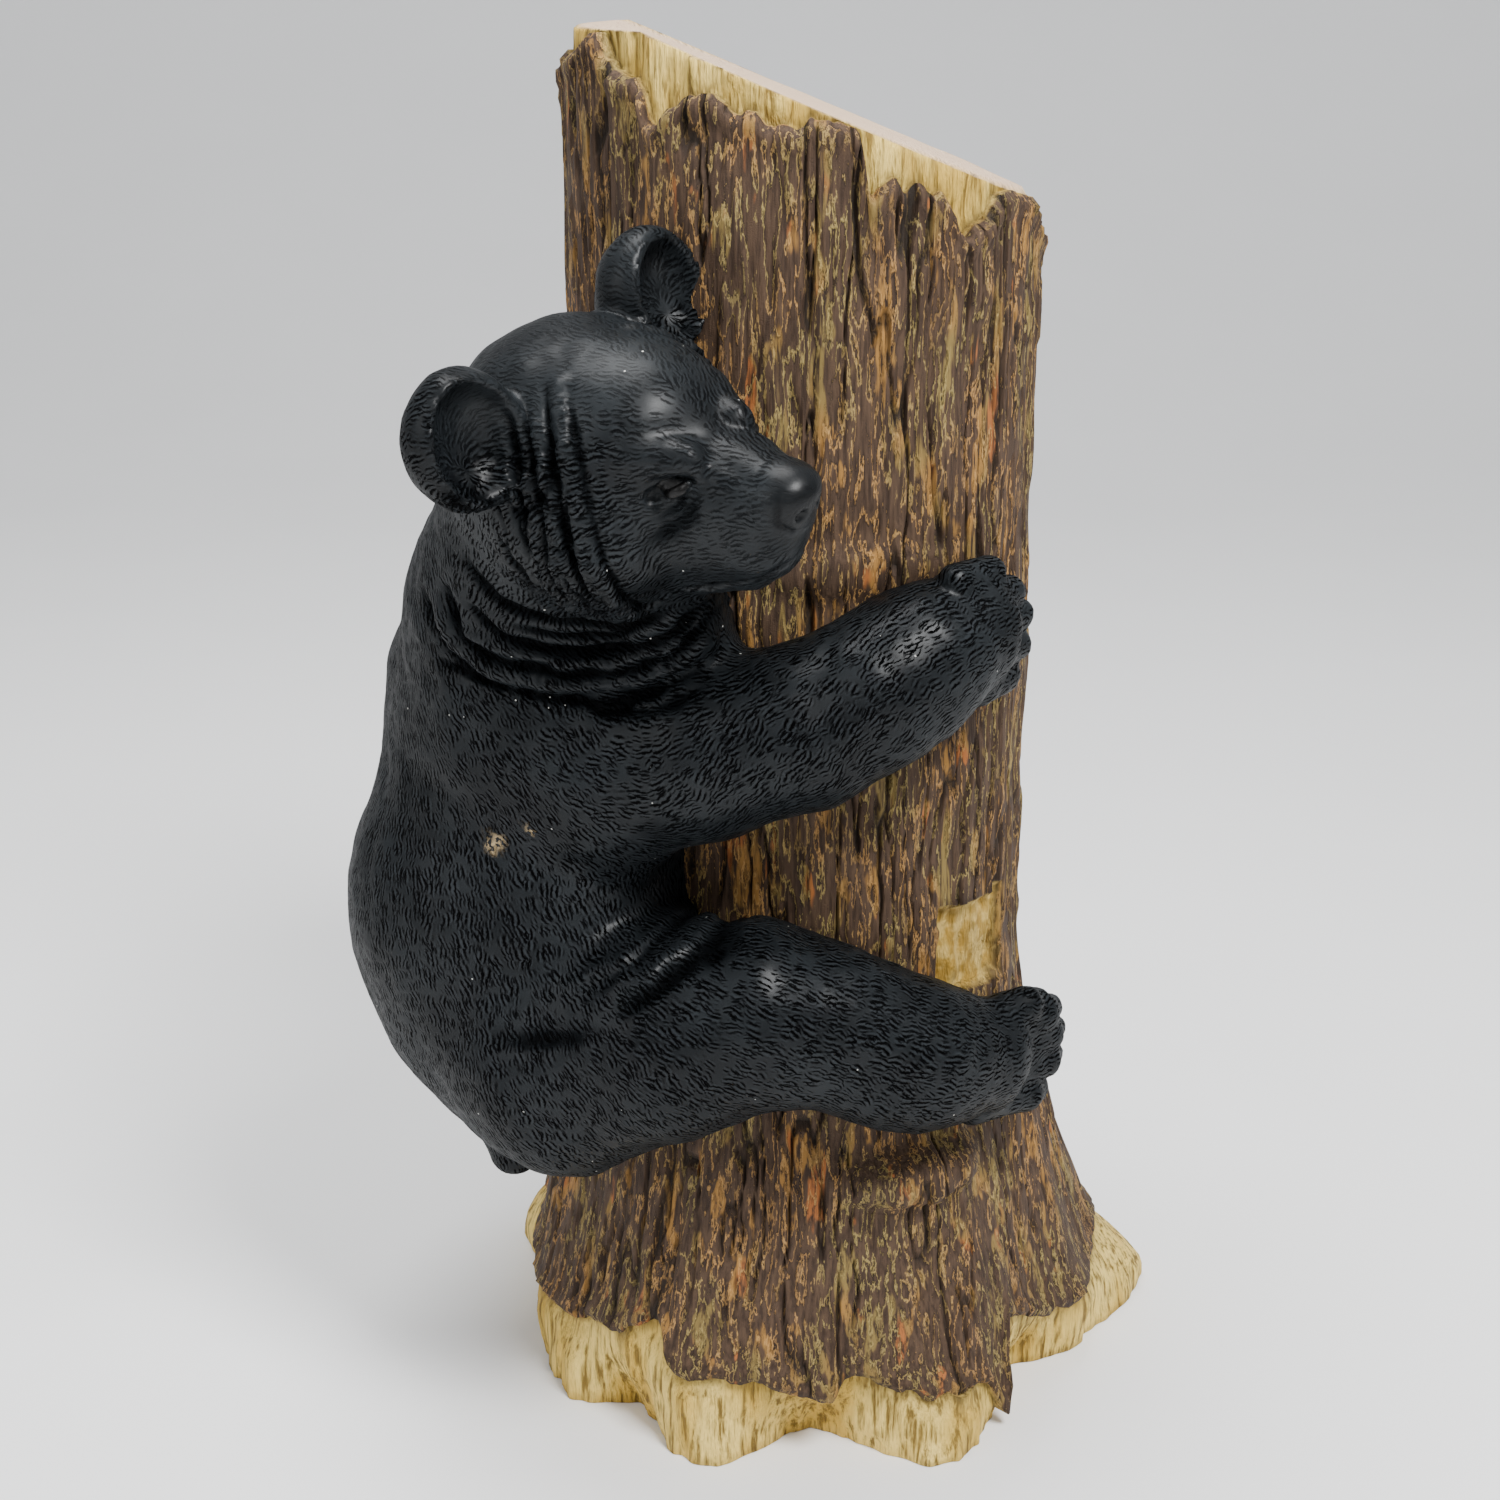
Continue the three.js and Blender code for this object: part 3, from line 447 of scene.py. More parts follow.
def refined(points, triangles, chosen):
    """Splits every edge whose two ends are chosen, and the triangles beside it to match."""
    sides = [triangles[:, pair] for pair in ([0, 1], [1, 2], [2, 0])]
    edges = np.sort(np.concatenate(sides), axis=1)
    unique, inverse = np.unique(edges, axis=0, return_inverse=True)
    split = chosen[unique].all(1)
    number = np.full(len(unique), -1)
    number[split] = len(points) + np.arange(split.sum())
    middle = points[unique[split]].mean(1)
    mid = number[inverse.reshape(3, -1).T]
    made = []
    for turn in range(3):
        order = [(turn + i) % 3 for i in range(3)]
        a, b, c = triangles[:, order].T
        ab, bc, ca = mid[:, order].T
        one = (ab >= 0) & (bc < 0) & (ca < 0)
        two = (ab >= 0) & (bc >= 0) & (ca < 0)
        made += [np.stack(t, 1)[one] for t in ([a, ab, c], [ab, b, c])]
        made += [np.stack(t, 1)[two] for t in ([ab, b, bc], [a, ab, bc], [a, bc, c])]
    a, b, c = triangles.T
    ab, bc, ca = mid.T
    every = (mid >= 0).all(1)
    made += [np.stack(t, 1)[every] for t in ([a, ab, ca], [ab, b, bc], [ca, bc, c], [ab, bc, ca])]
    made.append(triangles[(mid < 0).all(1)])
    return np.concatenate([points, middle]), np.concatenate(made)


def settled(field, points, rounds=2):
    """Moves points onto the surface."""
    for _ in range(rounds):
        points = points - field.normals(points) * field.distance(points)[:, None]
    return points


# Carving on the bear. Lines as [turn, height] for the body and [x, y, z] in the head.

# Radius at which the bear's outer side is laid flat to place the lines on its body.
FLAT_RADIUS = 0.24
# Soft unevenness: rise, length of its waves and seed.
UNEVENNESS = [(0.0022, 0.045, 5), (0.001, 0.014, 9)]
# Ridges and grooves on the head: line, rise, width, and the share of it that notches take off.
HEAD_LINES = [
    ([(0.057, 0.048, 0.007), (0.08, 0.081, -0.032), (0.085, 0.095, -0.07), (0.088, 0.106, -0.127),
      (0.085, 0.097, -0.163), (0.055, 0.058, -0.212)], 0.0022, 0.004, 0.6),
    ([(0.039, 0.059, 0.004), (0.054, 0.082, -0.022), (0.062, 0.096, -0.051), (0.067, 0.104, -0.075),
      (0.061, 0.115, -0.121), (0.025, 0.079, -0.201)], 0.0018, 0.0036, 0.7),
    ([(0.038, 0.078, -0.002), (0.037, 0.09, -0.029), (0.043, 0.102, -0.049), (0.046, 0.112, -0.081),
      (0.044, 0.118, -0.116), (0.037, 0.109, -0.163), (0.01, 0.08, -0.209)], 0.0028, 0.0038, 0.7),
    ([(0.027, 0.09, 0.0), (0.027, 0.092, -0.019), (0.031, 0.102, -0.041),
      (0.031, 0.113, -0.074)], 0.003, 0.0035, 0.5),
    ([(0.07, 0.048, 0.004), (0.09, 0.077, -0.031), (0.095, 0.09, -0.073), (0.099, 0.099, -0.12),
      (0.095, 0.09, -0.162), (0.068, 0.05, -0.208)], -0.0026, 0.002, 0.0),
    ([(0.048, 0.053, 0.006), (0.067, 0.082, -0.026), (0.074, 0.098, -0.066), (0.076, 0.111, -0.115),
      (0.068, 0.098, -0.171)], -0.0034, 0.002, 0.0),
    ([(0.034, 0.067, 0.001), (0.046, 0.086, -0.025), (0.052, 0.099, -0.052), (0.057, 0.11, -0.082),
      (0.051, 0.117, -0.121), (0.039, 0.103, -0.172)], -0.0028, 0.002, 0.0),
    ([(0.031, 0.085, -0.004), (0.031, 0.091, -0.024), (0.037, 0.102, -0.046), (0.038, 0.113, -0.079),
      (0.035, 0.119, -0.112)], -0.004, 0.002, 0.0),
    ([(0.135, 0.055, -0.082), (0.148, 0.053, -0.076), (0.159, 0.046, -0.071),
      (0.163, 0.036, -0.071)], -0.0028, 0.0016, 0.0),
    ([(0.124, 0.06, -0.071), (0.136, 0.055, -0.063), (0.15, 0.045, -0.06),
      (0.162, 0.035, -0.066)], 0.0018, 0.0026, 0.0),
    ([(0.138, 0.054, -0.088), (0.153, 0.051, -0.082), (0.162, 0.044, -0.077)], 0.0016, 0.0018, 0.0),
    ([(0.15, 0.034, -0.056), (0.178, 0.031, -0.07), (0.205, 0.029, -0.084)], 0.0022, 0.006, 0.0),
    ([(0.172, 0.038, -0.084), (0.158, 0.052, -0.103), (0.14, 0.062, -0.118),
      (0.12, 0.07, -0.126)], -0.0022, 0.006, 0.0),
    ([(0.162, 0.037, -0.073), (0.16, 0.045, -0.083), (0.152, 0.05, -0.094), (0.14, 0.056, -0.1),
      (0.128, 0.061, -0.102)], -0.0016, 0.0025, 0.0),
    ([(0.116, 0.037, -0.188), (0.135, 0.036, -0.186), (0.155, 0.034, -0.182)], -0.0036, 0.0022, 0.0),
    ([(0.112, 0.038, -0.196), (0.13, 0.037, -0.195), (0.15, 0.034, -0.191)], 0.0024, 0.0035, 0.0),
    ([(0.155, 0.034, -0.182), (0.18, 0.029, -0.176), (0.205, 0.02, -0.165),
      (0.218, 0.0, -0.16)], -0.0014, 0.0018, 0.0),
    ([(0.238, 0.022, -0.088), (0.236, 0.027, -0.1), (0.23, 0.026, -0.114), (0.228, 0.014, -0.124),
      (0.226, 0.0, -0.127)], -0.0016, 0.0016, 0.0),
]
# The same on the body's outer side, with lines of [turn, height].
BODY_LINES = [
    ([(15.2, 0.695), (16.8, 0.653), (22.2, 0.635), (28.8, 0.627), (35.1, 0.627), (43.6, 0.644),
      (49.1, 0.678)], -0.005, 0.003, 0.0),
    ([(19.7, 0.685), (22.6, 0.659), (27.1, 0.649), (31.3, 0.646), (38.8, 0.651), (45, 0.668),
      (48.8, 0.691)], -0.0045, 0.0026, 0.0),
    ([(13, 0.625), (19.6, 0.614), (27.7, 0.603), (33.9, 0.598), (41, 0.613),
      (47.3, 0.632)], -0.004, 0.0026, 0.0),
    ([(24.7, 0.671), (29.7, 0.661), (35.5, 0.661), (42.5, 0.682)], -0.0035, 0.0024, 0.0),
    ([(20.3, 0.729), (23.7, 0.696), (30, 0.677), (37.2, 0.672), (44.7, 0.69)], -0.004, 0.0026, 0.0),
    ([(8.9, 0.684), (14.1, 0.637), (21.2, 0.608)], -0.0035, 0.0026, 0.0),
    ([(28.7, 0.612), (33.6, 0.593), (41.2, 0.598), (48.1, 0.617)], -0.003, 0.0026, 0.0),
    ([(12, 0.67), (16, 0.643), (21, 0.625), (30, 0.617), (38, 0.621), (46, 0.641)], 0.003, 0.0055, 0.4),
    ([(17, 0.66), (24, 0.642), (31, 0.636), (40, 0.642), (47, 0.664)], 0.0025, 0.005, 0.4),
    ([(53, 0.384), (48.2, 0.375), (44, 0.352), (40, 0.33)], -0.005, 0.005, 0.0),
    ([(45, 0.387), (40.4, 0.371), (35.1, 0.343), (31, 0.325)], -0.004, 0.0045, 0.0),
    ([(52, 0.405), (46, 0.385), (39, 0.36), (33, 0.34), (28, 0.325)], 0.004, 0.008, 0.2),
    ([(23.5, 0.28), (28.4, 0.29), (35.8, 0.301)], -0.003, 0.005, 0.0),
]
# Places where the paint is rubbed through: [turn, height, half of the turn, half of the height].
SCUFFS = [(19.5, 0.463, 1.7, 0.011), (24.5, 0.478, 0.8, 0.007)]
# Which way the fur lies: a place as [turn, height], and its direction as (round the trunk, up).
BODY_FLOW = [
    ((0, 0.6), (0.15, -1.0)), ((0, 0.4), (0.1, -1.0)), ((0, 0.2), (0.0, -1.0)),
    ((18, 0.58), (0.5, -1.0)), ((30, 0.55), (1.0, -0.6)), ((22, 0.45), (0.35, -1.0)),
    ((35, 0.42), (0.5, -1.0)), ((20, 0.34), (0.2, -1.0)), ((48, 0.56), (0.6, 0.9)),
    ((60, 0.6), (0.5, 1.0)), ((60, 0.54), (0.8, 0.6)), ((75, 0.62), (0.6, 0.9)),
    ((75, 0.57), (0.9, 0.45)), ((90, 0.65), (1.0, 0.6)), ((100, 0.65), (1.0, 0.1)),
    ((30, 0.24), (0.5, -1.0)), ((40, 0.32), (1.0, -0.3)), ((42, 0.24), (0.5, -1.0)),
    ((56, 0.32), (1.0, -0.1)), ((56, 0.25), (0.7, -1.0)), ((70, 0.29), (1.0, -0.2)),
    ((72, 0.24), (0.8, -0.9)), ((90, 0.24), (1.0, -0.3)), ((105, 0.22), (1.0, 0.0)),
    ((10, 0.7), (0.3, -1.0)), ((25, 0.66), (0.6, -1.0)), ((40, 0.65), (0.9, -0.7)),
]
# The same on the head's left side, mirrored to its right: place and direction as [x, y, z].
HEAD_FLOW = [
    ((0.2, 0.03, -0.1), (-1.0, 0.2, 0.0)), ((0.14, 0.06, -0.12), (-1.0, 0.3, -0.2)),
    ((0.1, 0.08, -0.1), (-1.0, 0.2, 0.0)), ((0.1, 0.06, -0.04), (-1.0, 0.4, 0.1)),
    ((0.05, 0.05, 0.0), (-1.0, 0.3, 0.1)), ((0.05, 0.1, -0.13), (-0.9, 0.0, -0.5)),
    ((0.0, 0.1, -0.12), (-0.6, 0.0, -0.8)), ((-0.06, 0.06, -0.05), (-0.5, 0.0, -1.0)),
    ((-0.05, 0.0, 0.0), (-1.0, 0.0, -0.3)),
]


def line_shape(points, normals, line):
    """How far points lie from a line drawn on the surface, how far along it, and its length."""
    best = np.full(len(points), FAR)
    along = np.zeros(len(points))
    start = 0.0
    for a, b in zip(line[:-1], line[1:]):
        step = b - a
        length = np.linalg.norm(step)
        t = np.clip((points - a) @ step / (length * length), 0.0, 1.0)
        offset = points - a - t[:, None] * step
        rise = (offset * normals).sum(1)
        gap = np.sqrt(np.maximum((offset ** 2).sum(1) - rise ** 2, 0.0))
        gap += np.maximum(np.abs(rise) - 0.02, 0.0)
        nearer = gap < best
        best = np.where(nearer, gap, best)
        along = np.where(nearer, start + t * length, along)
        start += length
    return best, along, start


def carved_line(points, normals, line, rise, width, notches, seed):
    """Rise of one ridge or groove, thinning to its ends, with notches across it."""
    line = np.array(line)
    gap, along, length = line_shape(points, normals, line)
    near = np.nonzero(gap < 3.0 * width)[0]
    shape = np.zeros(len(points))
    spots = points[near]
    wander = 0.9 * width * layered_noise(spots / 0.012, 2, seed)
    across = np.abs(gap[near] + wander) / width
    ends = ease(along[near] / 0.015) * ease((length - along[near]) / 0.015)
    beat = np.cos(2 * math.pi * along[near] / 0.0065 + 3.0 * noise(spots / 0.009, seed + 3))
    notched = 1.0 - notches * (0.5 + 0.5 * beat)
    shape[near] = rise * np.exp(-across ** 2) * notched * (0.35 + 0.65 * ends)
    return shape


def carved_lines(points, normals, lines, seed):
    relief = np.zeros(len(points))
    for number, (line, rise, width, notches) in enumerate(lines):
        relief += carved_line(points, normals, line, rise, width, notches, seed + number)
    return relief


def bear_places(forms, points):
    """Turn in degrees, height as a share of the bear's size, and places in the head's frame."""
    turn = wrap(np.degrees(np.arctan2(points[:, 0], -points[:, 1])) - forms.azimuth)
    height = (points[:, 2] - forms.lift) / forms.size
    inverse = np.array(forms.head.inverted())
    in_head = (points @ inverse[:3, :3].T + inverse[:3, 3]) / forms.size
    return turn, height, in_head


def on_left(in_head):
    """Places mirrored onto the head's left side, and -1 for those that came from its right."""
    flip = np.where(in_head[:, 1] < 0, -1.0, 1.0)
    mirrored = in_head.copy()
    mirrored[:, 1] *= flip
    return mirrored, flip


def bear_relief(forms, points, normals, turn, height, in_head, depth):
    """Rise of folds, wrinkles and unevenness over the bear's forms, and its creases from 0 to 1."""
    size = forms.size
    across = np.radians(np.abs(turn)) * FLAT_RADIUS
    flat = np.stack([across, height * size, np.zeros(len(points))], 1)
    body_lines = []
    for line, *cut in BODY_LINES:
        path = [(math.radians(t) * FLAT_RADIUS, h * size, 0.0) for t, h in line]
        body_lines.append((path, *cut))
    relief = carved_lines(flat, np.zeros_like(points), body_lines, 20)
    mirrored, flip = on_left(in_head)
    head_normals = normals @ np.array(forms.head)[:3, :3]
    head_normals[:, 1] *= flip
    head_lines = [(np.array(line) * size, *cut) for line, *cut in HEAD_LINES]
    relief += carved_lines(mirrored * size, head_normals, head_lines, 40)
    relief -= crinkles(mirrored, mirrored * size)
    crease = np.clip(-relief / 0.003, 0.0, 1.0)
    face = ease((in_head[:, 0] - 0.02) / 0.06) * ease((in_head[:, 2] + 0.22) / 0.03)
    for rise, length, seed in UNEVENNESS:
        relief += rise * (1.0 - 0.75 * face) * layered_noise(points / length, 2, seed)
    return relief * depth, crease


def crinkles(in_head, points):
    """Depth of the fine upright creases between ear and throat."""
    x, y, z = in_head.T
    band = ease((x + 0.015) / 0.03) * ease((0.104 - x) / 0.02) * ease((y - 0.04) / 0.02)
    band *= ease((-0.012 - z) / 0.03) * ease((z + 0.235) / 0.04)
    stretched = points * (1.0 / 0.0055, 1.0 / 0.02, 1.0 / 0.03)
    stretched[:, 0] += 0.9 * noise(points / 0.02, 62)
    return 0.0028 * band * np.exp(-(layered_noise(stretched, 2, 61) / 0.15) ** 2)


def fur_flow(forms, points, normals, turn, height, in_head):
    """Direction in which the fur lies at each point, along the surface."""
    azimuth = np.arctan2(points[:, 0], -points[:, 1])
    side = np.where(turn < 0, -1.0, 1.0)
    round_way = np.stack([np.cos(azimuth), np.sin(azimuth), np.zeros(len(points))], 1) * side[:, None]
    total = np.zeros_like(points)
    for (t, h), (across, up) in BODY_FLOW:
        gap = np.hypot(np.radians(np.abs(turn) - t) * 0.36, height - h)
        weight = np.exp(-(gap / 0.07) ** 2) + 1e-9
        total += weight[:, None] * (across * round_way + up * np.array([0.0, 0.0, 1.0]))
    on_head = ease((in_head[:, 2] + 0.24) / 0.05) * ease((in_head[:, 0] + 0.12) / 0.05)
    head_total = np.zeros_like(points)
    mirrored, flip = on_left(in_head)
    for place, (ahead, left, up) in HEAD_FLOW:
        weight = np.exp(-(np.linalg.norm(mirrored - np.array(place), axis=1) / 0.06) ** 2) + 1e-9
        direction = np.stack([np.full(len(points), ahead), left * flip, np.full(len(points), up)], 1)
        head_total += weight[:, None] * (direction @ np.array(forms.head)[:3, :3].T)
    flow = unit(total) * (1 - on_head[:, None]) + unit(head_total) * on_head[:, None]
    return unit(flow - (flow * normals).sum(1)[:, None] * normals)


def bear_surface(bear, trunk):
    """Points, triangles and surface attributes of the carved bear."""
    forms = BearForms(bear, trunk)
    reach = trunk.radius + 0.32 * bear.size
    low = (-reach, -reach, bear.lift - 0.1 * bear.size)
    high = (
        trunk.radius + 0.15 * bear.size, trunk.radius + 0.2 * bear.size, bear.lift + 1.1 * bear.size,
    )
    cell = bear.mesh_step
    field = BearField(forms, low, high, 8 * cell)
    points, triangles = surface_of(field, low, high, cell)
    points = settled(field, points)
    turn, height, in_head = bear_places(forms, points)
    near_face = np.linalg.norm((in_head - (0.09, 0.0, -0.1)) / (1.0, 0.9, 0.95), axis=1) < 0.155
    near_neck = np.hypot((np.abs(turn) - 31.0) / 20.0, (height - 0.645) / 0.055) < 1.0
    points, triangles = refined(points, triangles, near_face | near_neck)
    points = settled(field, points, 1)
    mirrored, _ = on_left(bear_places(forms, points)[2])
    near_eye = np.linalg.norm(mirrored - (0.15, 0.05, -0.076), axis=1) < 0.035
    near_nose = np.linalg.norm(mirrored - (0.25, 0.0, -0.11), axis=1) < 0.03
    points, triangles = refined(points, triangles, near_eye | near_nose)
    points = settled(field, points, 1)
    normals = field.normals(points)
    turn, height, in_head = bear_places(forms, points)
    relief, crease = bear_relief(forms, points, normals, turn, height, in_head, bear.carving)
    points = points + normals * relief[:, None]
    attributes = {
        "crease": crease,
        "scuff": scuffs(turn, height, points),
        "flow": fur_flow(forms, points, normals, turn, height, in_head),
        "smooth": smooth_places(in_head),
        "glossy": glossy_places(in_head),
    }
    return points, triangles, attributes


def scuffs(turn, height, points):
    """1 where the paint is rubbed through to the resin."""
    worn = np.zeros(len(points))
    for at, up, half_width, half_height in SCUFFS:
        gap = np.hypot((turn - at) / half_width, (height - up) / half_height)
        worn = np.maximum(worn, ease(2.0 * (1.0 - gap + 0.5 * noise(points / 0.006, 63))))
    return worn


def glossy_places(in_head):
    """1 on the eyes and, less, on the nose pad."""
    x, y, z = in_head[:, 0], np.abs(in_head[:, 1]), in_head[:, 2]
    eye = np.hypot(np.hypot((x - 0.151) / 1.35, y - 0.05), (z + 0.077) / 0.55) < 0.0115
    nose = ease((x - 0.222) / 0.01) * ease((z + 0.13) / 0.01)
    return np.maximum(eye, 0.4 * nose)


def smooth_places(in_head):
    """1 where the casting has next to no fur, the nose, and less on the crown and the muzzle."""
    on_head = ease(4.0 - np.linalg.norm(in_head - (0.08, 0.0, -0.08), axis=1) / 0.055)
    nose = ease((in_head[:, 0] - 0.19) / 0.05)
    crown = ease((in_head[:, 2] + 0.045) / 0.05) * 0.7
    cheek = ease((in_head[:, 0] - 0.095) / 0.04) * 0.5
    return on_head * np.maximum(np.maximum(nose, crown), cheek)


# The trunk's surface.

def round_value(outline, azimuth):
    """Value of a closed outline given as [azimuth, value] pairs, eased between its points."""
    places = np.array([a for a, _ in outline], float)
    values = np.array([v for _, v in outline], float)
    places = np.concatenate([[places[-1] - 360.0], places, [places[0] + 360.0]])
    values = np.concatenate([[values[-1]], values, [values[0]]])
    at = wrap(azimuth)
    before = np.clip(np.searchsorted(places, at, side="right") - 1, 0, len(places) - 2)
    part = (at - places[before]) / (places[before + 1] - places[before])
    return values[before] + (values[before + 1] - values[before]) * ease(part)


class TrunkShape:
    """The trunk's outlines as functions of azimuth in degrees and height in metres."""

    def __init__(self, trunk):
        self.trunk = trunk

    def cut_height(self, x, y):
        trunk = self.trunk
        plane = trunk.height - trunk.cut_mid_drop + trunk.cut_slope_side * x + trunk.cut_slope_back * y
        return np.minimum(trunk.height, plane)

    def top(self, azimuth):
        turn = np.radians(azimuth)
        return self.cut_height(self.trunk.radius * np.sin(turn), -self.trunk.radius * np.cos(turn))

    def flare(self, azimuth, z):
        share = np.clip(1.0 - z / self.trunk.flare_height, 0.0, 1.0)
        spread = round_value(BARK_FLARE, azimuth) - self.trunk.radius
        return self.trunk.radius + spread * share ** 1.5

    def wood(self, azimuth, z):
        inner = self.flare(azimuth, z) - self.trunk.bark_thickness
        foot = ease(z / self.trunk.foot_wood_height)
        return round_value(ROOT_TIPS, azimuth) * (1 - foot) + inner * foot

    def ledges(self, azimuth, z):
        rise = np.zeros_like(z)
        for at, half_width, height, half_height, top in LEDGES:
            gap = np.hypot(wrap(azimuth - at) / half_width, (z - height) / half_height)
            rise += top * ease(1.6 * (1.0 - gap))
        return rise

    def patch(self, azimuth, z, wander):
        at, half_width, low, high = PATCH
        side = (half_width - np.abs(wrap(azimuth - at))) * DEGREE_LENGTH
        edge = np.minimum(np.minimum(side, z - low), high - z)
        return ease((edge + wander) / 0.003)


def trunk_surface(trunk):
    """Points, faces and attributes of the trunk: rings from the floor up and across the cut."""
    shape = TrunkShape(trunk)
    columns = trunk.columns
    spread = np.arange(columns) / columns * 2 * math.pi
    azimuth = wrap(np.degrees(spread - 0.35 * np.sin(spread - math.radians(20.0))))
    turn = np.radians(azimuth)
    circle = np.stack([np.sin(turn), -np.cos(turn), np.zeros(columns)], 1)
    ragged = EDGE_WAVER * layered_noise(circle * trunk.radius / 0.011, 3, 60)
    low = np.maximum(round_value(BARK_LOW_EDGE, azimuth) + ragged, 0.004)
    top = shape.top(azimuth)
    high = top - np.maximum(round_value(BARK_TOP_EDGE, azimuth) + 1.4 * ragged, 0.0015)

    rows = []

    def ring(radius, z, wood, cut=0.0, bark_edge_shade=0.0):
        whole = np.ones(columns)
        rows.append((radius, z, wood * whole, cut * whole, bark_edge_shade * whole))

    for share in np.linspace(0.0, 1.0, FOOT_ROWS):
        z = low * share
        shade = np.exp(-(low - z) / EDGE_SHADE)
        ring(shape.wood(azimuth, z) + chisel(circle, z, trunk), z, 1.0, 0.0, shade)
    bark_rows = trunk.rows
    plates, furrows, patches = [], [], []
    for row in range(bark_rows + 1):
        share = row / bark_rows
        level = BARK_FOOT + (top - BARK_FOOT) * share
        z = level + (low - BARK_FOOT) * (1 - share) ** EDGE_PULL + (high - top) * share ** EDGE_PULL
        places = circle * trunk.radius + np.array([0, 0, 1.0]) * z[:, None]
        plate, furrow, relief = bark_relief(places)
        bare = shape.patch(azimuth, z, 0.004 * layered_noise(places / 0.012, 2, 71))
        edge = np.minimum(z - low, high - z)
        lip = ease(edge / 0.004)
        radius = shape.flare(azimuth, z) + shape.ledges(azimuth, z)
        radius += relief * (0.3 + 0.7 * lip) - EDGE_TUCK * (1 - lip)
        radius += RIM_RISE * np.exp(-((edge - 0.007) / 0.006) ** 2)
        inner = shape.wood(azimuth, z) + chisel(circle, z, trunk)
        # The last value is painted shade on the wood round the bare patch's edge.
        ring(radius * (1 - bare) + inner * bare, z, bare, 0.0, 4.0 * bare * (1 - bare))
        plates.append(plate)
        furrows.append(furrow)
        patches.append(bare)
    for share in np.linspace(0.0, 1.0, TOP_ROWS):
        z = high + (top - 0.001 - high) * share
        shade = np.exp(-(z - high) / EDGE_SHADE)
        ring(shape.wood(azimuth, z) + chisel(circle, z, trunk), z, 1.0, 0.0, shade)
    rim = shape.wood(azimuth, top)
    ring(rim - 0.0015, top - 0.0002, 1.0, 0.5)
    for share in CUT_RINGS:
        radius = (trunk.radius - trunk.bark_thickness) * share
        z = shape.cut_height(radius * circle[:, 0], radius * circle[:, 1])
        saw = 0.0004 * noise(circle * (radius / 0.02) + 40.0, 90)
        ring(np.full(columns, radius), z + saw, 1.0, 1.0)
    radius = np.array([row[0] for row in rows])
    z = np.array([row[1] for row in rows])
    points = np.stack([radius * circle[:, 0], radius * circle[:, 1], z], 2).reshape(-1, 3)
    count = len(rows)
    attributes = {}
    for column, name in enumerate(("wood", "cut", "bark_edge_shade"), 2):
        attributes[name] = np.array([row[column] for row in rows]).reshape(-1)
    for name, values in (("patch", patches), ("plate", plates), ("furrow", furrows)):
        filled = np.zeros((count, columns))
        filled[FOOT_ROWS:FOOT_ROWS + bark_rows + 1] = values
        attributes[name] = filled.reshape(-1)
    here = np.arange((count - 1) * columns)
    beside = here // columns * columns + (here + 1) % columns
    faces = [tuple(q) for q in np.stack([here, beside, beside + columns, here + columns], 1)]
    faces.append(tuple(reversed(range(columns))))
    last = (count - 1) * columns
    faces.append(tuple(range(last, last + columns)))
    return points, faces, attributes


def chisel(circle, z, trunk):
    """Rise of the flutes and facets that a gouge leaves on the bare wood."""
    places = circle * trunk.radius + np.array([0, 0, 1.0]) * z[:, None]
    flutes = layered_noise(places / np.array([0.0075, 0.0075, 0.04]), 2, 80)
    return FLUTES * flutes + FACETS * noise(places / np.array([0.02, 0.02, 0.015]), 82)


def bark_relief(places):
    """Plate value, furrow depth from 0 to 1 and the rise of the bark at points on the trunk."""
    bent = places.copy()
    for axis in range(2):
        bent[:, axis] += 0.004 * layered_noise(places / np.array([0.02, 0.02, 0.04]), 2, axis + 1)
    plate = layered_noise(bent / np.array([0.0105, 0.0105, 0.085]), 3, 11)
    ridge = np.abs(layered_noise(bent / np.array([0.013, 0.013, 0.16]), 2, 31))
    broken = ease((noise(places / np.array([0.03, 0.03, 0.08]), 33) + 0.6) / 0.5)
    furrow = ease(1.0 - ridge / 0.06) * broken
    level = (plate + 1.0) * BARK_LAYERS
    step = np.floor(level) + ease((level - np.floor(level)) / 0.25)
    relief = LAYER_RISE * (step - BARK_LAYERS) - FURROW_DEPTH * furrow
    return plate, furrow, relief + BARK_SWELL * layered_noise(places / 0.05, 2, 51)


# Materials.

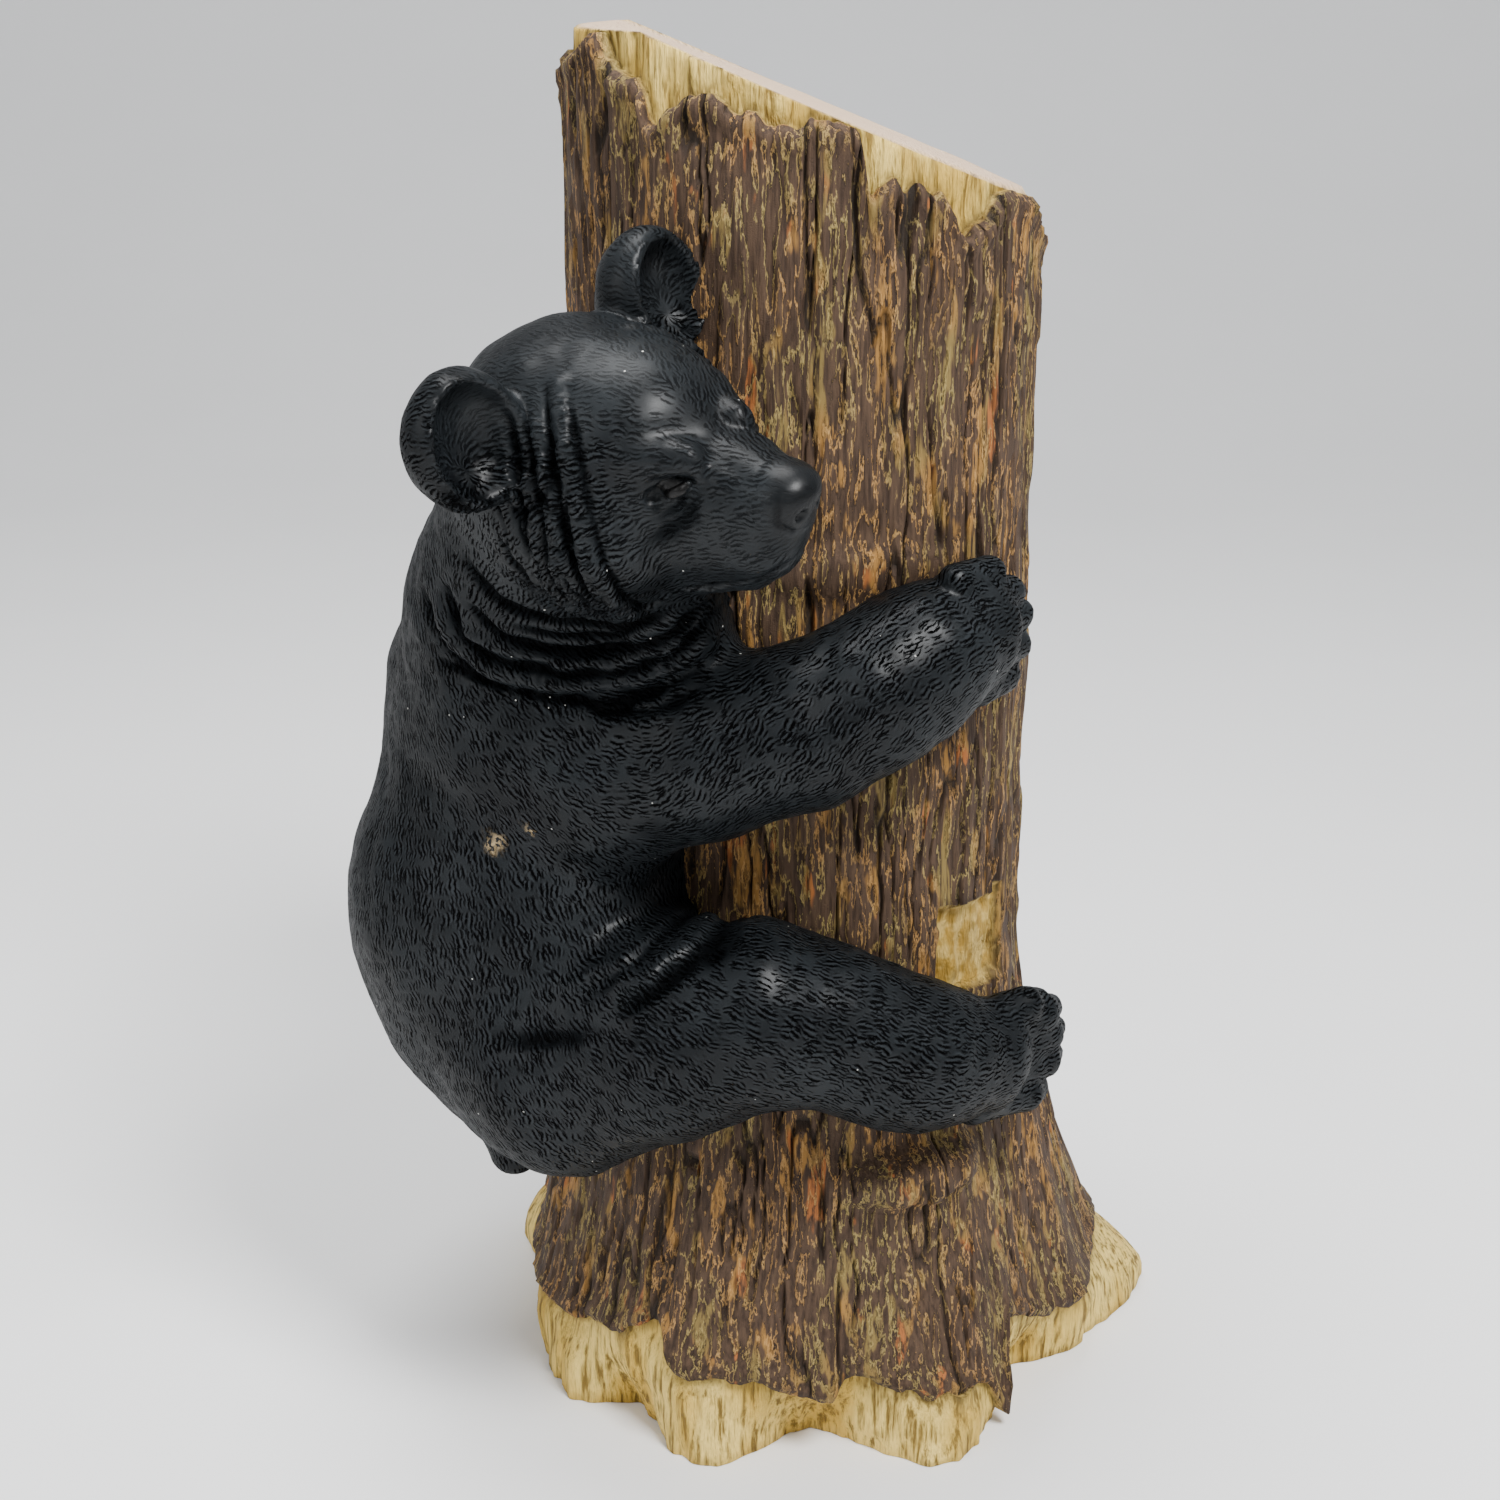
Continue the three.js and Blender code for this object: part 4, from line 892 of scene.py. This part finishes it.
class Graph:
    """Adds and links shader nodes."""

    def __init__(self, tree):
        self.tree = tree

    def node(self, kind, inputs=None, **settings):
        made = self.tree.nodes.new(kind)
        for name, value in settings.items():
            setattr(made, name, value)
        for name, value in (inputs or {}).items():
            socket = made.inputs[name]
            if isinstance(value, bpy.types.NodeSocket):
                self.tree.links.new(value, socket)
            else:
                socket.default_value = value
        return made

    def math(self, operation, a, b=0.0, c=0.0):
        return self.node("ShaderNodeMath", {0: a, 1: b, 2: c}, operation=operation).outputs[0]

    def times(self, a, b):
        return self.math("MULTIPLY", a, b)

    def times_add(self, a, b, c):
        return self.math("MULTIPLY_ADD", a, b, c)

    def vector(self, operation, a, b=(0.0, 0.0, 0.0)):
        made = self.node("ShaderNodeVectorMath", {0: a, 1: b}, operation=operation)
        return made.outputs["Value" if operation == "DOT_PRODUCT" else "Vector"]

    def scaled(self, a, scale):
        return self.vector("MULTIPLY", a, scale)

    def range(self, value, low, high, to_low=0.0, to_high=1.0, kind="SMOOTHSTEP"):
        inputs = {"Value": value, "From Min": low, "From Max": high, "To Min": to_low, "To Max": to_high}
        return self.node("ShaderNodeMapRange", inputs, interpolation_type=kind).outputs["Result"]

    def mix(self, factor, a, b):
        """Mix of two colours, each a socket or (red, green, blue)."""
        a, b = [c if isinstance(c, bpy.types.NodeSocket) else (*c, 1.0) for c in (a, b)]
        return self.node("ShaderNodeMix", {"Factor": factor, 6: a, 7: b}, data_type="RGBA").outputs[2]

    def attribute(self, name, output="Fac"):
        return self.node("ShaderNodeAttribute", attribute_name=name).outputs[output]

    def noise(self, vector, scale, detail=2.0, roughness=0.5):
        inputs = {"Vector": vector, "Scale": scale, "Detail": detail, "Roughness": roughness}
        return self.node("ShaderNodeTexNoise", inputs).outputs["Fac"]

    def bump(self, height, distance):
        return self.node("ShaderNodeBump", {"Height": height, "Distance": distance}).outputs["Normal"]


def new_group(name, inputs, outputs):
    """Empty node group: inputs as (name, kind, default) and outputs as (name, kind)."""
    tree = bpy.data.node_groups.new(name, "ShaderNodeTree")
    for label, kind, default in inputs:
        socket = tree.interface.new_socket(name=label, in_out="INPUT", socket_type=kind)
        socket.default_value = default
    for label, kind in outputs:
        tree.interface.new_socket(name=label, in_out="OUTPUT", socket_type=kind)
    start = tree.nodes.new("NodeGroupInput")
    end = tree.nodes.new("NodeGroupOutput")
    return tree, Graph(tree), start.outputs, end.inputs


def finish_group(graph, ends, values):
    for name, value in values.items():
        graph.tree.links.new(value, ends[name])


# One wave of the strokes, in radians.
FULL_TURN = 6.283


def tuft_group():
    """Short carved strokes in tufts, lying along a direction given at each point."""
    name = "carved tufts"
    if name in bpy.data.node_groups:
        return bpy.data.node_groups[name]
    kinds = [
        ("Place", "NodeSocketVector", (0.0, 0.0, 0.0)), ("Flow", "NodeSocketVector", (0.0, 0.0, 1.0)),
        ("Tuft Size", "NodeSocketFloat", 0.008), ("Stroke Spacing", "NodeSocketFloat", 0.003),
        ("Spread", "NodeSocketFloat", 0.8),
    ]
    results = [(label, "NodeSocketFloat") for label in ("Groove", "Ridge", "Slope")]
    tree, g, start, end = new_group(name, kinds, results)
    scale = g.math("DIVIDE", 1.0, start["Tuft Size"])
    cells = g.node("ShaderNodeTexVoronoi", {"Vector": start["Place"], "Scale": scale, "Randomness": 1.0})
    offset = g.vector("SUBTRACT", start["Place"], cells.outputs["Position"])
    normal = g.node("ShaderNodeNewGeometry").outputs["Normal"]
    across = g.vector("NORMALIZE", g.vector("CROSS_PRODUCT", start["Flow"], normal))
    u = g.vector("DOT_PRODUCT", offset, across)
    v = g.vector("DOT_PRODUCT", offset, start["Flow"])
    chance = g.node("ShaderNodeSeparateColor", {"Color": cells.outputs["Color"]}).outputs
    lean = g.times(g.math("SUBTRACT", chance[0], 0.5), start["Spread"])
    bend = g.times(g.math("SUBTRACT", chance[1], 0.5), g.math("DIVIDE", 1.2, start["Tuft Size"]))
    leaned = g.times_add(v, lean, u)
    bent = g.times_add(g.times(v, v), bend, leaned)
    strokes = g.math("DIVIDE", g.times(bent, FULL_TURN), start["Stroke Spacing"])
    phase = g.times_add(chance[2], FULL_TURN, strokes)
    ragged = g.times_add(g.noise(start["Place"], 520.0, 2.0), 3.4, phase)
    cosine = g.math("COSINE", ragged)
    wave = g.range(cosine, 0.0, 0.9)
    fade = g.range(cells.outputs["Distance"], 0.34, 0.66, 1.0, 0.0)
    groove = g.times(wave, fade)
    ridge = g.times(g.range(cosine, -0.2, -0.95), fade)
    tilted = g.times_add(u, g.math("SUBTRACT", chance[0], 0.5), v)
    slope = g.math("DIVIDE", tilted, start["Tuft Size"])
    finish_group(g, end, {"Groove": groove, "Ridge": ridge, "Slope": slope})
    return tree


def speck_group():
    """Scattered specks, few and small."""
    name = "specks"
    if name in bpy.data.node_groups:
        return bpy.data.node_groups[name]
    kinds = [
        ("Place", "NodeSocketVector", (0.0, 0.0, 0.0)), ("Spacing", "NodeSocketFloat", 0.01),
        ("Share", "NodeSocketFloat", 0.2),
    ]
    tree, g, start, end = new_group(name, kinds, [("Speck", "NodeSocketFloat")])
    scale = g.math("DIVIDE", 1.0, start["Spacing"])
    cells = g.node("ShaderNodeTexVoronoi", {"Vector": start["Place"], "Scale": scale})
    dot = g.range(cells.outputs["Distance"], 0.04, 0.07, 1.0, 0.0)
    chance = g.node("ShaderNodeSeparateColor", {"Color": cells.outputs["Color"]}).outputs[0]
    kept = g.math("LESS_THAN", chance, start["Share"])
    finish_group(g, end, {"Speck": g.times(dot, kept)})
    return tree


def placed(graph, tree, inputs):
    """A node group set in a material with its own values."""
    return graph.node("ShaderNodeGroup", inputs, node_tree=tree).outputs


def new_material(name, roughness, specular):
    material = bpy.data.materials.new(name)
    material.use_nodes = True
    graph = Graph(material.node_tree)
    shader = material.node_tree.nodes["Principled BSDF"]
    shader.inputs["Roughness"].default_value = roughness
    shader.inputs["Specular IOR Level"].default_value = specular
    place = graph.node("ShaderNodeTexCoord").outputs["Object"]
    return material, graph, shader.inputs, place


def link(graph, socket, value):
    graph.tree.links.new(value, socket)


def bear_paint(bear):
    """Near-black satin paint over carved fur, with painted shade in its strokes and creases and a painted
    highlight on the ridges between strokes.
    """
    material, g, shader, place = new_material("bear paint", 0.5, 0.02)
    shader["Coat Roughness"].default_value = 0.36
    flow = g.attribute("flow", "Vector")
    bare, crease, glossy, scuff = [g.attribute(name) for name in ("smooth", "crease", "glossy", "scuff")]
    drift = g.node("ShaderNodeTexNoise", {"Vector": place, "Scale": 60.0, "Detail": 1.0}).outputs["Color"]
    drift = g.scaled(g.vector("SUBTRACT", drift, (0.5, 0.5, 0.5)), (0.004, 0.004, 0.004))
    wavy = g.vector("ADD", place, drift)
    tufts = {"Place": wavy, "Flow": flow, "Tuft Size": 0.0088, "Stroke Spacing": 0.0036}
    coarse = placed(g, tuft_group(), tufts)
    shifted = g.vector("ADD", wavy, (0.31, 0.17, 0.23))
    tufts = {"Place": shifted, "Flow": flow, "Tuft Size": 0.006, "Stroke Spacing": 0.0027}
    fine = placed(g, tuft_group(), tufts)
    groove = g.math("MAXIMUM", coarse["Groove"], g.times(fine["Groove"], 0.85))
    fur = g.range(bare, 0.0, 1.0, 1.0, 0.12, "LINEAR")
    shown = g.times(groove, fur)
    slope = g.times(g.math("ADD", coarse["Slope"], fine["Slope"]), fur)
    lumps = g.noise(place, 220.0, 3.0)
    height = g.times_add(slope, 0.5, g.times(shown, -1.0))
    height = g.times_add(lumps, 0.25, height)
    link(g, shader["Normal"], g.bump(height, 0.0024))
    cloud = g.noise(place, 18.0, 3.0)
    raised = g.mix(g.range(cloud, 0.3, 0.7), bear.paint, bear.paint_light)
    ridge = g.math("MAXIMUM", coarse["Ridge"], g.times(fine["Ridge"], 0.7))
    ridge = g.times(ridge, fur)
    # Painted highlight: paler paint on the ridges between strokes.
    raised = g.mix(g.times(ridge, 0.5), raised, bear.ridge_highlight)
    # Painted shade: near-black in the carved strokes and, less, in the carved creases.
    colour = g.mix(shown, raised, bear.groove_shade)
    colour = g.mix(g.times(crease, 0.85), colour, bear.groove_shade)
    # Pale specks scattered over the paint.
    specks = placed(g, speck_group(), {"Place": place, "Spacing": 0.010, "Share": 0.16})
    colour = g.mix(specks["Speck"], colour, PALE_SPECK)
    chipped = g.times(scuff, g.range(g.noise(place, 420.0, 2.0), 0.42, 0.56))
    colour = g.mix(chipped, colour, BARE_RESIN)
    colour = g.mix(glossy, colour, GLOSS_BLACK)
    link(g, shader["Base Color"], colour)
    rough = g.range(g.noise(place, 90.0, 2.0), 0.3, 0.7, 0.42, 0.6, "LINEAR")
    rough = g.times(rough, g.range(glossy, 0.0, 1.0, 1.0, 0.3, "LINEAR"))
    link(g, shader["Roughness"], rough)
    gloss = g.times(g.range(shown, 0.0, 0.8, 1.0, 0.0), g.range(crease, 0.0, 0.6, 1.0, 0.0))
    gloss = g.times(gloss, g.times_add(bare, 0.06, 0.24))
    link(g, shader["Coat Weight"], g.math("MAXIMUM", gloss, g.times(glossy, 0.45)))
    return material


def trunk_paint():
    """Brown bark with dry-brushed plates, and cream wood where the bark is off, with painted shade in the
    furrows, under the plates' edges, in the gouges and along the bark's edge.
    """
    material, g, shader, place = new_material("trunk paint", 0.75, 0.25)
    wood, cut, bark_edge_shade = [g.attribute(name) for name in ("wood", "cut", "bark_edge_shade")]
    plate, furrow = g.attribute("plate"), g.attribute("furrow")
    ripple = g.noise(g.scaled(place, (1.0, 1.0, 0.2)), 150.0, 5.0, 0.66)
    rippled = g.times_add(g.math("SUBTRACT", ripple, 0.5), 1.5, plate)
    level = g.times(g.math("ADD", rippled, 1.0), BARK_LAYERS)
    floor = g.math("FLOOR", level)
    part = g.math("SUBTRACT", level, floor)
    step = g.math("ADD", floor, g.range(part, 0.0, 0.12))
    outline = g.times(g.range(part, 0.02, 0.06), g.range(part, 0.14, 0.3, 1.0, 0.0))
    # Painted shadow at the foot of each plate's raised edge.
    shade = g.range(part, 0.86, 1.0)
    streak = g.noise(g.scaled(place, (1.0, 1.0, 0.08)), 380.0, 3.0, 0.6)
    grain = g.noise(place, 1400.0, 2.0)
    base = g.mix(g.range(streak, 0.3, 0.7), BARK_DARK, BARK_LIGHT)
    patches = g.noise(g.scaled(place, (1.0, 1.0, 0.35)), 34.0, 2.0)
    rusty = g.noise(g.scaled(place, (1.0, 1.0, 0.3)), 60.0, 1.0)
    gold = g.mix(g.range(patches, 0.4, 0.6), GOLD, OLIVE_GOLD)
    ochre = g.mix(g.range(rusty, 0.58, 0.66), gold, RUST)
    painted = g.noise(g.scaled(place, (1.0, 1.0, 0.25)), 75.0, 2.0)
    top = g.times(g.range(painted, 0.57, 0.62), g.range(streak, 0.36, 0.56))
    colour = g.mix(g.times(top, 0.75), base, ochre)
    tan = g.mix(g.range(patches, 0.4, 0.6), TAN, OLIVE_TAN)
    colour = g.mix(g.times(outline, g.range(rusty, 0.3, 0.5, 0.45, 0.9)), colour, tan)
    # Painted shade: near-black brown in the furrows and at the foot of the plates' edges.
    furrow_shade = g.math("MAXIMUM", g.times(furrow, 0.95), g.times(shade, 0.6))
    colour = g.mix(furrow_shade, colour, FURROW_SHADE_BROWN)
    fine = g.times_add(streak, 0.6, g.times(grain, 0.25))
    bark_height = g.times_add(step, 0.8, g.times_add(furrow, -1.4, fine))

    gouge = g.noise(g.scaled(place, (1.0, 1.0, 0.09)), 240.0, 4.0, 0.62)
    stain = g.noise(g.scaled(place, (1.0, 1.0, 0.4)), 24.0, 3.0)
    cream = g.mix(g.range(stain, 0.4, 0.65), CREAM, STAINED_CREAM)
    # Painted shade: olive in the low parts of the gouges.
    bare = g.mix(g.range(gouge, 0.34, 0.56, 0.95, 0.0), cream, GOUGE_SHADE_OLIVE)
    worn = g.mix(g.range(g.noise(place, 90.0, 3.0), 0.4, 0.6), WORN_DARK, WORN_LIGHT)
    bare = g.mix(g.times(g.attribute("patch"), 0.85), bare, worn)
    # Painted shade on the wood along the bark's edge and round the bare patch.
    bark_shade = g.times(bark_edge_shade, g.range(g.noise(place, 120.0, 2.0), 0.35, 0.55, 0.5, 1.0))
    bare = g.mix(g.times(bark_shade, 0.85), bare, BARK_EDGE_SHADE)
    bare = g.mix(cut, bare, SAWN_PALE)
    link(g, shader["Base Color"], g.mix(wood, colour, bare))
    wood_height = g.times(gouge, 4.5)
    heights = {"Factor": wood, 2: bark_height, 3: wood_height}
    height = g.node("ShaderNodeMix", heights, data_type="FLOAT").outputs[0]
    link(g, shader["Normal"], g.bump(height, 0.0018))
    return material


# Objects.

def add_piece(name, points, faces, attributes, material):
    """A dressed piece that rides on the casting's body."""
    mesh = bpy.data.meshes.new(name)
    mesh.from_pydata([tuple(p) for p in points.tolist()], [], [tuple(f) for f in faces])
    if mesh.validate():
        raise RuntimeError(f"{name} has faces that are not sound")
    for label, values in attributes.items():
        kind, field = ("FLOAT_VECTOR", "vector") if values.ndim == 2 else ("FLOAT", "value")
        made = mesh.attributes.new(label, kind, "POINT")
        made.data.foreach_set(field, np.ascontiguousarray(values, np.float32).reshape(-1))
    mesh.polygons.foreach_set("use_smooth", np.ones(len(mesh.polygons), bool))
    mesh.materials.append(material)
    piece = bpy.data.objects.new(name, mesh)
    bpy.context.scene.collection.objects.link(piece)
    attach(piece, "root")
    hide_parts(CASTING)
    return piece


class BearSettings(bpy.types.PropertyGroup):
    """Sizes, pose and paint of the cub."""

    size: bpy.props.FloatProperty(
        name="Size", description="Length that its forms are shares of; rump to ear tips is 0.94 of it",
        default=0.66, unit="LENGTH",
    )
    lift: bpy.props.FloatProperty(
        name="Lift", description="Height of the rump's base above the floor", default=0.13,
        unit="LENGTH",
    )
    azimuth: bpy.props.FloatProperty(
        name="Azimuth", description="Its middle plane round the trunk, from the front",
        default=math.radians(-65), subtype="ANGLE",
    )
    hug_depth: bpy.props.FloatProperty(
        name="Hug depth", description="How far its hidden side reaches into the trunk", default=0.014,
        unit="LENGTH",
    )
    head_turn: bpy.props.FloatProperty(
        name="Head turn", description="From straight ahead, towards its right",
        default=math.radians(-66.7), subtype="ANGLE",
    )
    head_nod: bpy.props.FloatProperty(
        name="Head nod", description="Upwards", default=math.radians(2.5), subtype="ANGLE",
    )
    head_tilt: bpy.props.FloatProperty(
        name="Head tilt", description="Crown to its left", default=math.radians(22), subtype="ANGLE",
    )
    carving: bpy.props.FloatProperty(
        name="Carving", description="Depth of folds and wrinkles, as a share", default=1.0, min=0.0,
    )
    mesh_step: bpy.props.FloatProperty(
        name="Mesh step", description="Spacing of the mesh's points on the body", default=0.004,
        unit="LENGTH",
    )
    paint: bpy.props.FloatVectorProperty(
        name="Paint", description="Satin paint", default=(0.005, 0.006, 0.007), subtype="COLOR", size=3,
    )
    paint_light: bpy.props.FloatVectorProperty(
        name="Dry-brushing", description="Paint on raised fur", default=(0.013, 0.0155, 0.0175),
        subtype="COLOR", size=3,
    )
    # Painted highlight on the ridges between strokes.
    ridge_highlight: bpy.props.FloatVectorProperty(
        name="Tips", description="Paint on the ridges between strokes", default=(0.025, 0.03, 0.0345),
        subtype="COLOR", size=3,
    )
    # Painted shade: near-black in the carved strokes and creases.
    groove_shade: bpy.props.FloatVectorProperty(
        name="Grooves", description="Paint in the strokes", default=(0.0005, 0.0005, 0.0006),
        subtype="COLOR", size=3,
    )


class TrunkSettings(bpy.types.PropertyGroup):
    """Sizes and mesh fineness of the trunk."""

    height: bpy.props.FloatProperty(
        name="Height", description="Floor to the highest point of the cut", default=0.893,
        unit="LENGTH",
    )
    radius: bpy.props.FloatProperty(
        name="Radius", description="Outside of the bark above the flare", default=0.145, unit="LENGTH",
    )
    bark_thickness: bpy.props.FloatProperty(
        name="Bark thickness", description="Step from bare wood up to the bark", default=0.007,
        unit="LENGTH",
    )
    flare_height: bpy.props.FloatProperty(
        name="Flare height", description="Where the root flare starts", default=0.32, unit="LENGTH",
    )
    foot_wood_height: bpy.props.FloatProperty(
        name="Foot wood height", description="Bare wood blends into the root tips below this",
        default=0.07, unit="LENGTH",
    )
    cut_slope_side: bpy.props.FloatProperty(
        name="Cut slope, side", description="Rise to the right", default=-0.393,
    )
    cut_slope_back: bpy.props.FloatProperty(
        name="Cut slope, back", description="Rise to the back", default=-0.034,
    )
    cut_mid_drop: bpy.props.FloatProperty(
        name="Cut mid drop", description="Cut on the axis, below its highest point", default=0.043,
        unit="LENGTH",
    )
    columns: bpy.props.IntProperty(name="Columns", description="Points round the trunk", default=560)
    rows: bpy.props.IntProperty(name="Rows", description="Rows of faces up the bark", default=130)


class StageSettings(bpy.types.PropertyGroup):
    """Floor, lights and camera."""

    floor_colour: bpy.props.FloatVectorProperty(
        name="Floor", description="Pale floor", default=(0.93, 0.93, 0.93), subtype="COLOR", size=3,
    )
    light: bpy.props.FloatProperty(
        name="Light", description="Power of the main light", default=125.0, unit="POWER",
    )
    camera_place: bpy.props.FloatVectorProperty(
        name="Camera", description="Where the camera stands", default=(-0.033, -1.5, 0.95),
        subtype="TRANSLATION", size=3,
    )
    camera_pitch: bpy.props.FloatProperty(
        name="Pitch", description="Downwards from level", default=math.radians(19.1), subtype="ANGLE",
    )
    camera_lens: bpy.props.FloatProperty(
        name="Lens", description="Focal length on a 36 mm sensor", default=57.24,
    )


class STATUE_OT_bear(bpy.types.Operator):
    """Build the bear cub"""

    bl_idname = "statue.bear"
    bl_label = "Bear cub"

    def execute(self, context):
        scene = context.scene
        points, triangles, attributes = bear_surface(scene.statue_bear, scene.statue_trunk)
        paint = bear_paint(scene.statue_bear)
        add_piece("bear", points, triangles.tolist(), attributes, paint)
        return {"FINISHED"}


class STATUE_OT_trunk(bpy.types.Operator):
    """Build the tree trunk"""

    bl_idname = "statue.trunk"
    bl_label = "Tree trunk"

    def execute(self, context):
        trunk = context.scene.statue_trunk
        points, faces, attributes = trunk_surface(trunk)
        add_piece("tree_trunk", points, faces, attributes, trunk_paint())
        return {"FINISHED"}


# The floor sweeps up behind the statue: half its width, its back, the bend and the backdrop's top.
HALF_FLOOR = 7.0
FLOOR_BACK = 5.0
FLOOR_BEND = 2.5
BEND_ROWS = 17
BACKDROP_TOP = 6.0
# How far the floor lies below the underside.
FLOOR_GAP = 0.0005


def area_light(name, place, target, size, power):
    light = bpy.data.lights.new(name, "AREA")
    light.energy, light.size = power, size
    made = bpy.data.objects.new(name, light)
    made.location = place
    made.rotation_euler = (Vector(target) - Vector(place)).to_track_quat("-Z", "Y").to_euler()
    bpy.context.scene.collection.objects.link(made)


class STATUE_OT_stage(bpy.types.Operator):
    """Set up the floor, the lights and the camera"""

    bl_idname = "statue.stage"
    bl_label = "Stage"

    def execute(self, context):
        scene = context.scene
        stage = scene.statue_stage
        profile = [(-HALF_FLOOR, 0.0)]
        for angle in np.linspace(0.0, math.pi / 2, BEND_ROWS):
            y = FLOOR_BACK - FLOOR_BEND * (1.0 - math.sin(angle))
            profile.append((y, FLOOR_BEND * (1.0 - math.cos(angle))))
        profile.append((FLOOR_BACK, BACKDROP_TOP))
        corners = [(x, y, z) for y, z in profile for x in (-HALF_FLOOR, HALF_FLOOR)]
        faces = [(2 * i, 2 * i + 1, 2 * i + 3, 2 * i + 2) for i in range(len(profile) - 1)]
        mesh = bpy.data.meshes.new("floor")
        mesh.from_pydata(corners, [], faces)
        mesh.polygons.foreach_set("use_smooth", np.ones(len(mesh.polygons), bool))
        material, g, shader, place = new_material("floor paint", 0.9, 0.2)
        tone = g.range(g.noise(place, 3.0, 2.0), 0.3, 0.7, 0.98, 1.0, "LINEAR")
        toned = g.node("ShaderNodeVectorMath", {0: stage.floor_colour, 3: tone}, operation="SCALE")
        link(g, shader["Base Color"], toned.outputs["Vector"])
        mesh.materials.append(material)
        floor = bpy.data.objects.new("floor", mesh)
        floor.location.z = -FLOOR_GAP
        scene.collection.objects.link(floor)

        world = scene.world or bpy.data.worlds.new("studio")
        scene.world = world
        world.use_nodes = True
        background = world.node_tree.nodes["Background"]
        background.inputs["Color"].default_value = (0.95, 0.97, 1.0, 1.0)
        background.inputs["Strength"].default_value = 0.55
        middle = (0.0, 0.0, 0.45)
        area_light("key light", (0.9, -1.5, 2.6), middle, 0.8, stage.light)
        area_light("fill light", (-2.4, -1.6, 1.6), middle, 2.0, 0.22 * stage.light)
        area_light("top light", (-0.4, 0.2, 2.8), middle, 1.2, 0.5 * stage.light)

        camera = bpy.data.cameras.new("camera")
        camera.lens, camera.sensor_width = stage.camera_lens, 36.0
        made = bpy.data.objects.new("camera", camera)
        made.location = stage.camera_place
        made.rotation_euler = Euler((math.pi / 2 - stage.camera_pitch, 0.0, 0.0))
        scene.collection.objects.link(made)
        scene.camera = made
        return {"FINISHED"}


class STATUE_PT_panel(bpy.types.Panel):
    """Statue settings in the 3D view's sidebar."""

    bl_label = "Climbing bear statue"
    bl_space_type = "VIEW_3D"
    bl_region_type = "UI"
    bl_category = "Statue"

    def draw(self, context):
        scene = context.scene
        for settings, operator in (
            (scene.statue_bear, STATUE_OT_bear),
            (scene.statue_trunk, STATUE_OT_trunk),
            (scene.statue_stage, STATUE_OT_stage),
        ):
            box = self.layout.box()
            for name in settings.bl_rna.properties.keys():
                if name not in ("rna_type", "name"):
                    box.prop(settings, name)
            box.operator(operator.bl_idname)


CLASSES = (
    BearSettings, TrunkSettings, StageSettings, STATUE_OT_bear, STATUE_OT_trunk, STATUE_OT_stage,
    STATUE_PT_panel,
)


def register():
    for made in CLASSES:
        bpy.utils.register_class(made)
    bpy.types.Scene.statue_bear = bpy.props.PointerProperty(type=BearSettings)
    bpy.types.Scene.statue_trunk = bpy.props.PointerProperty(type=TrunkSettings)
    bpy.types.Scene.statue_stage = bpy.props.PointerProperty(type=StageSettings)


def unregister():
    del bpy.types.Scene.statue_stage
    del bpy.types.Scene.statue_trunk
    del bpy.types.Scene.statue_bear
    for made in reversed(CLASSES):
        bpy.utils.unregister_class(made)


def main():
    register()
    bpy.ops.statue.bear()
    bpy.ops.statue.trunk()
    bpy.ops.statue.stage()


if __name__ == "__main__":
    main()
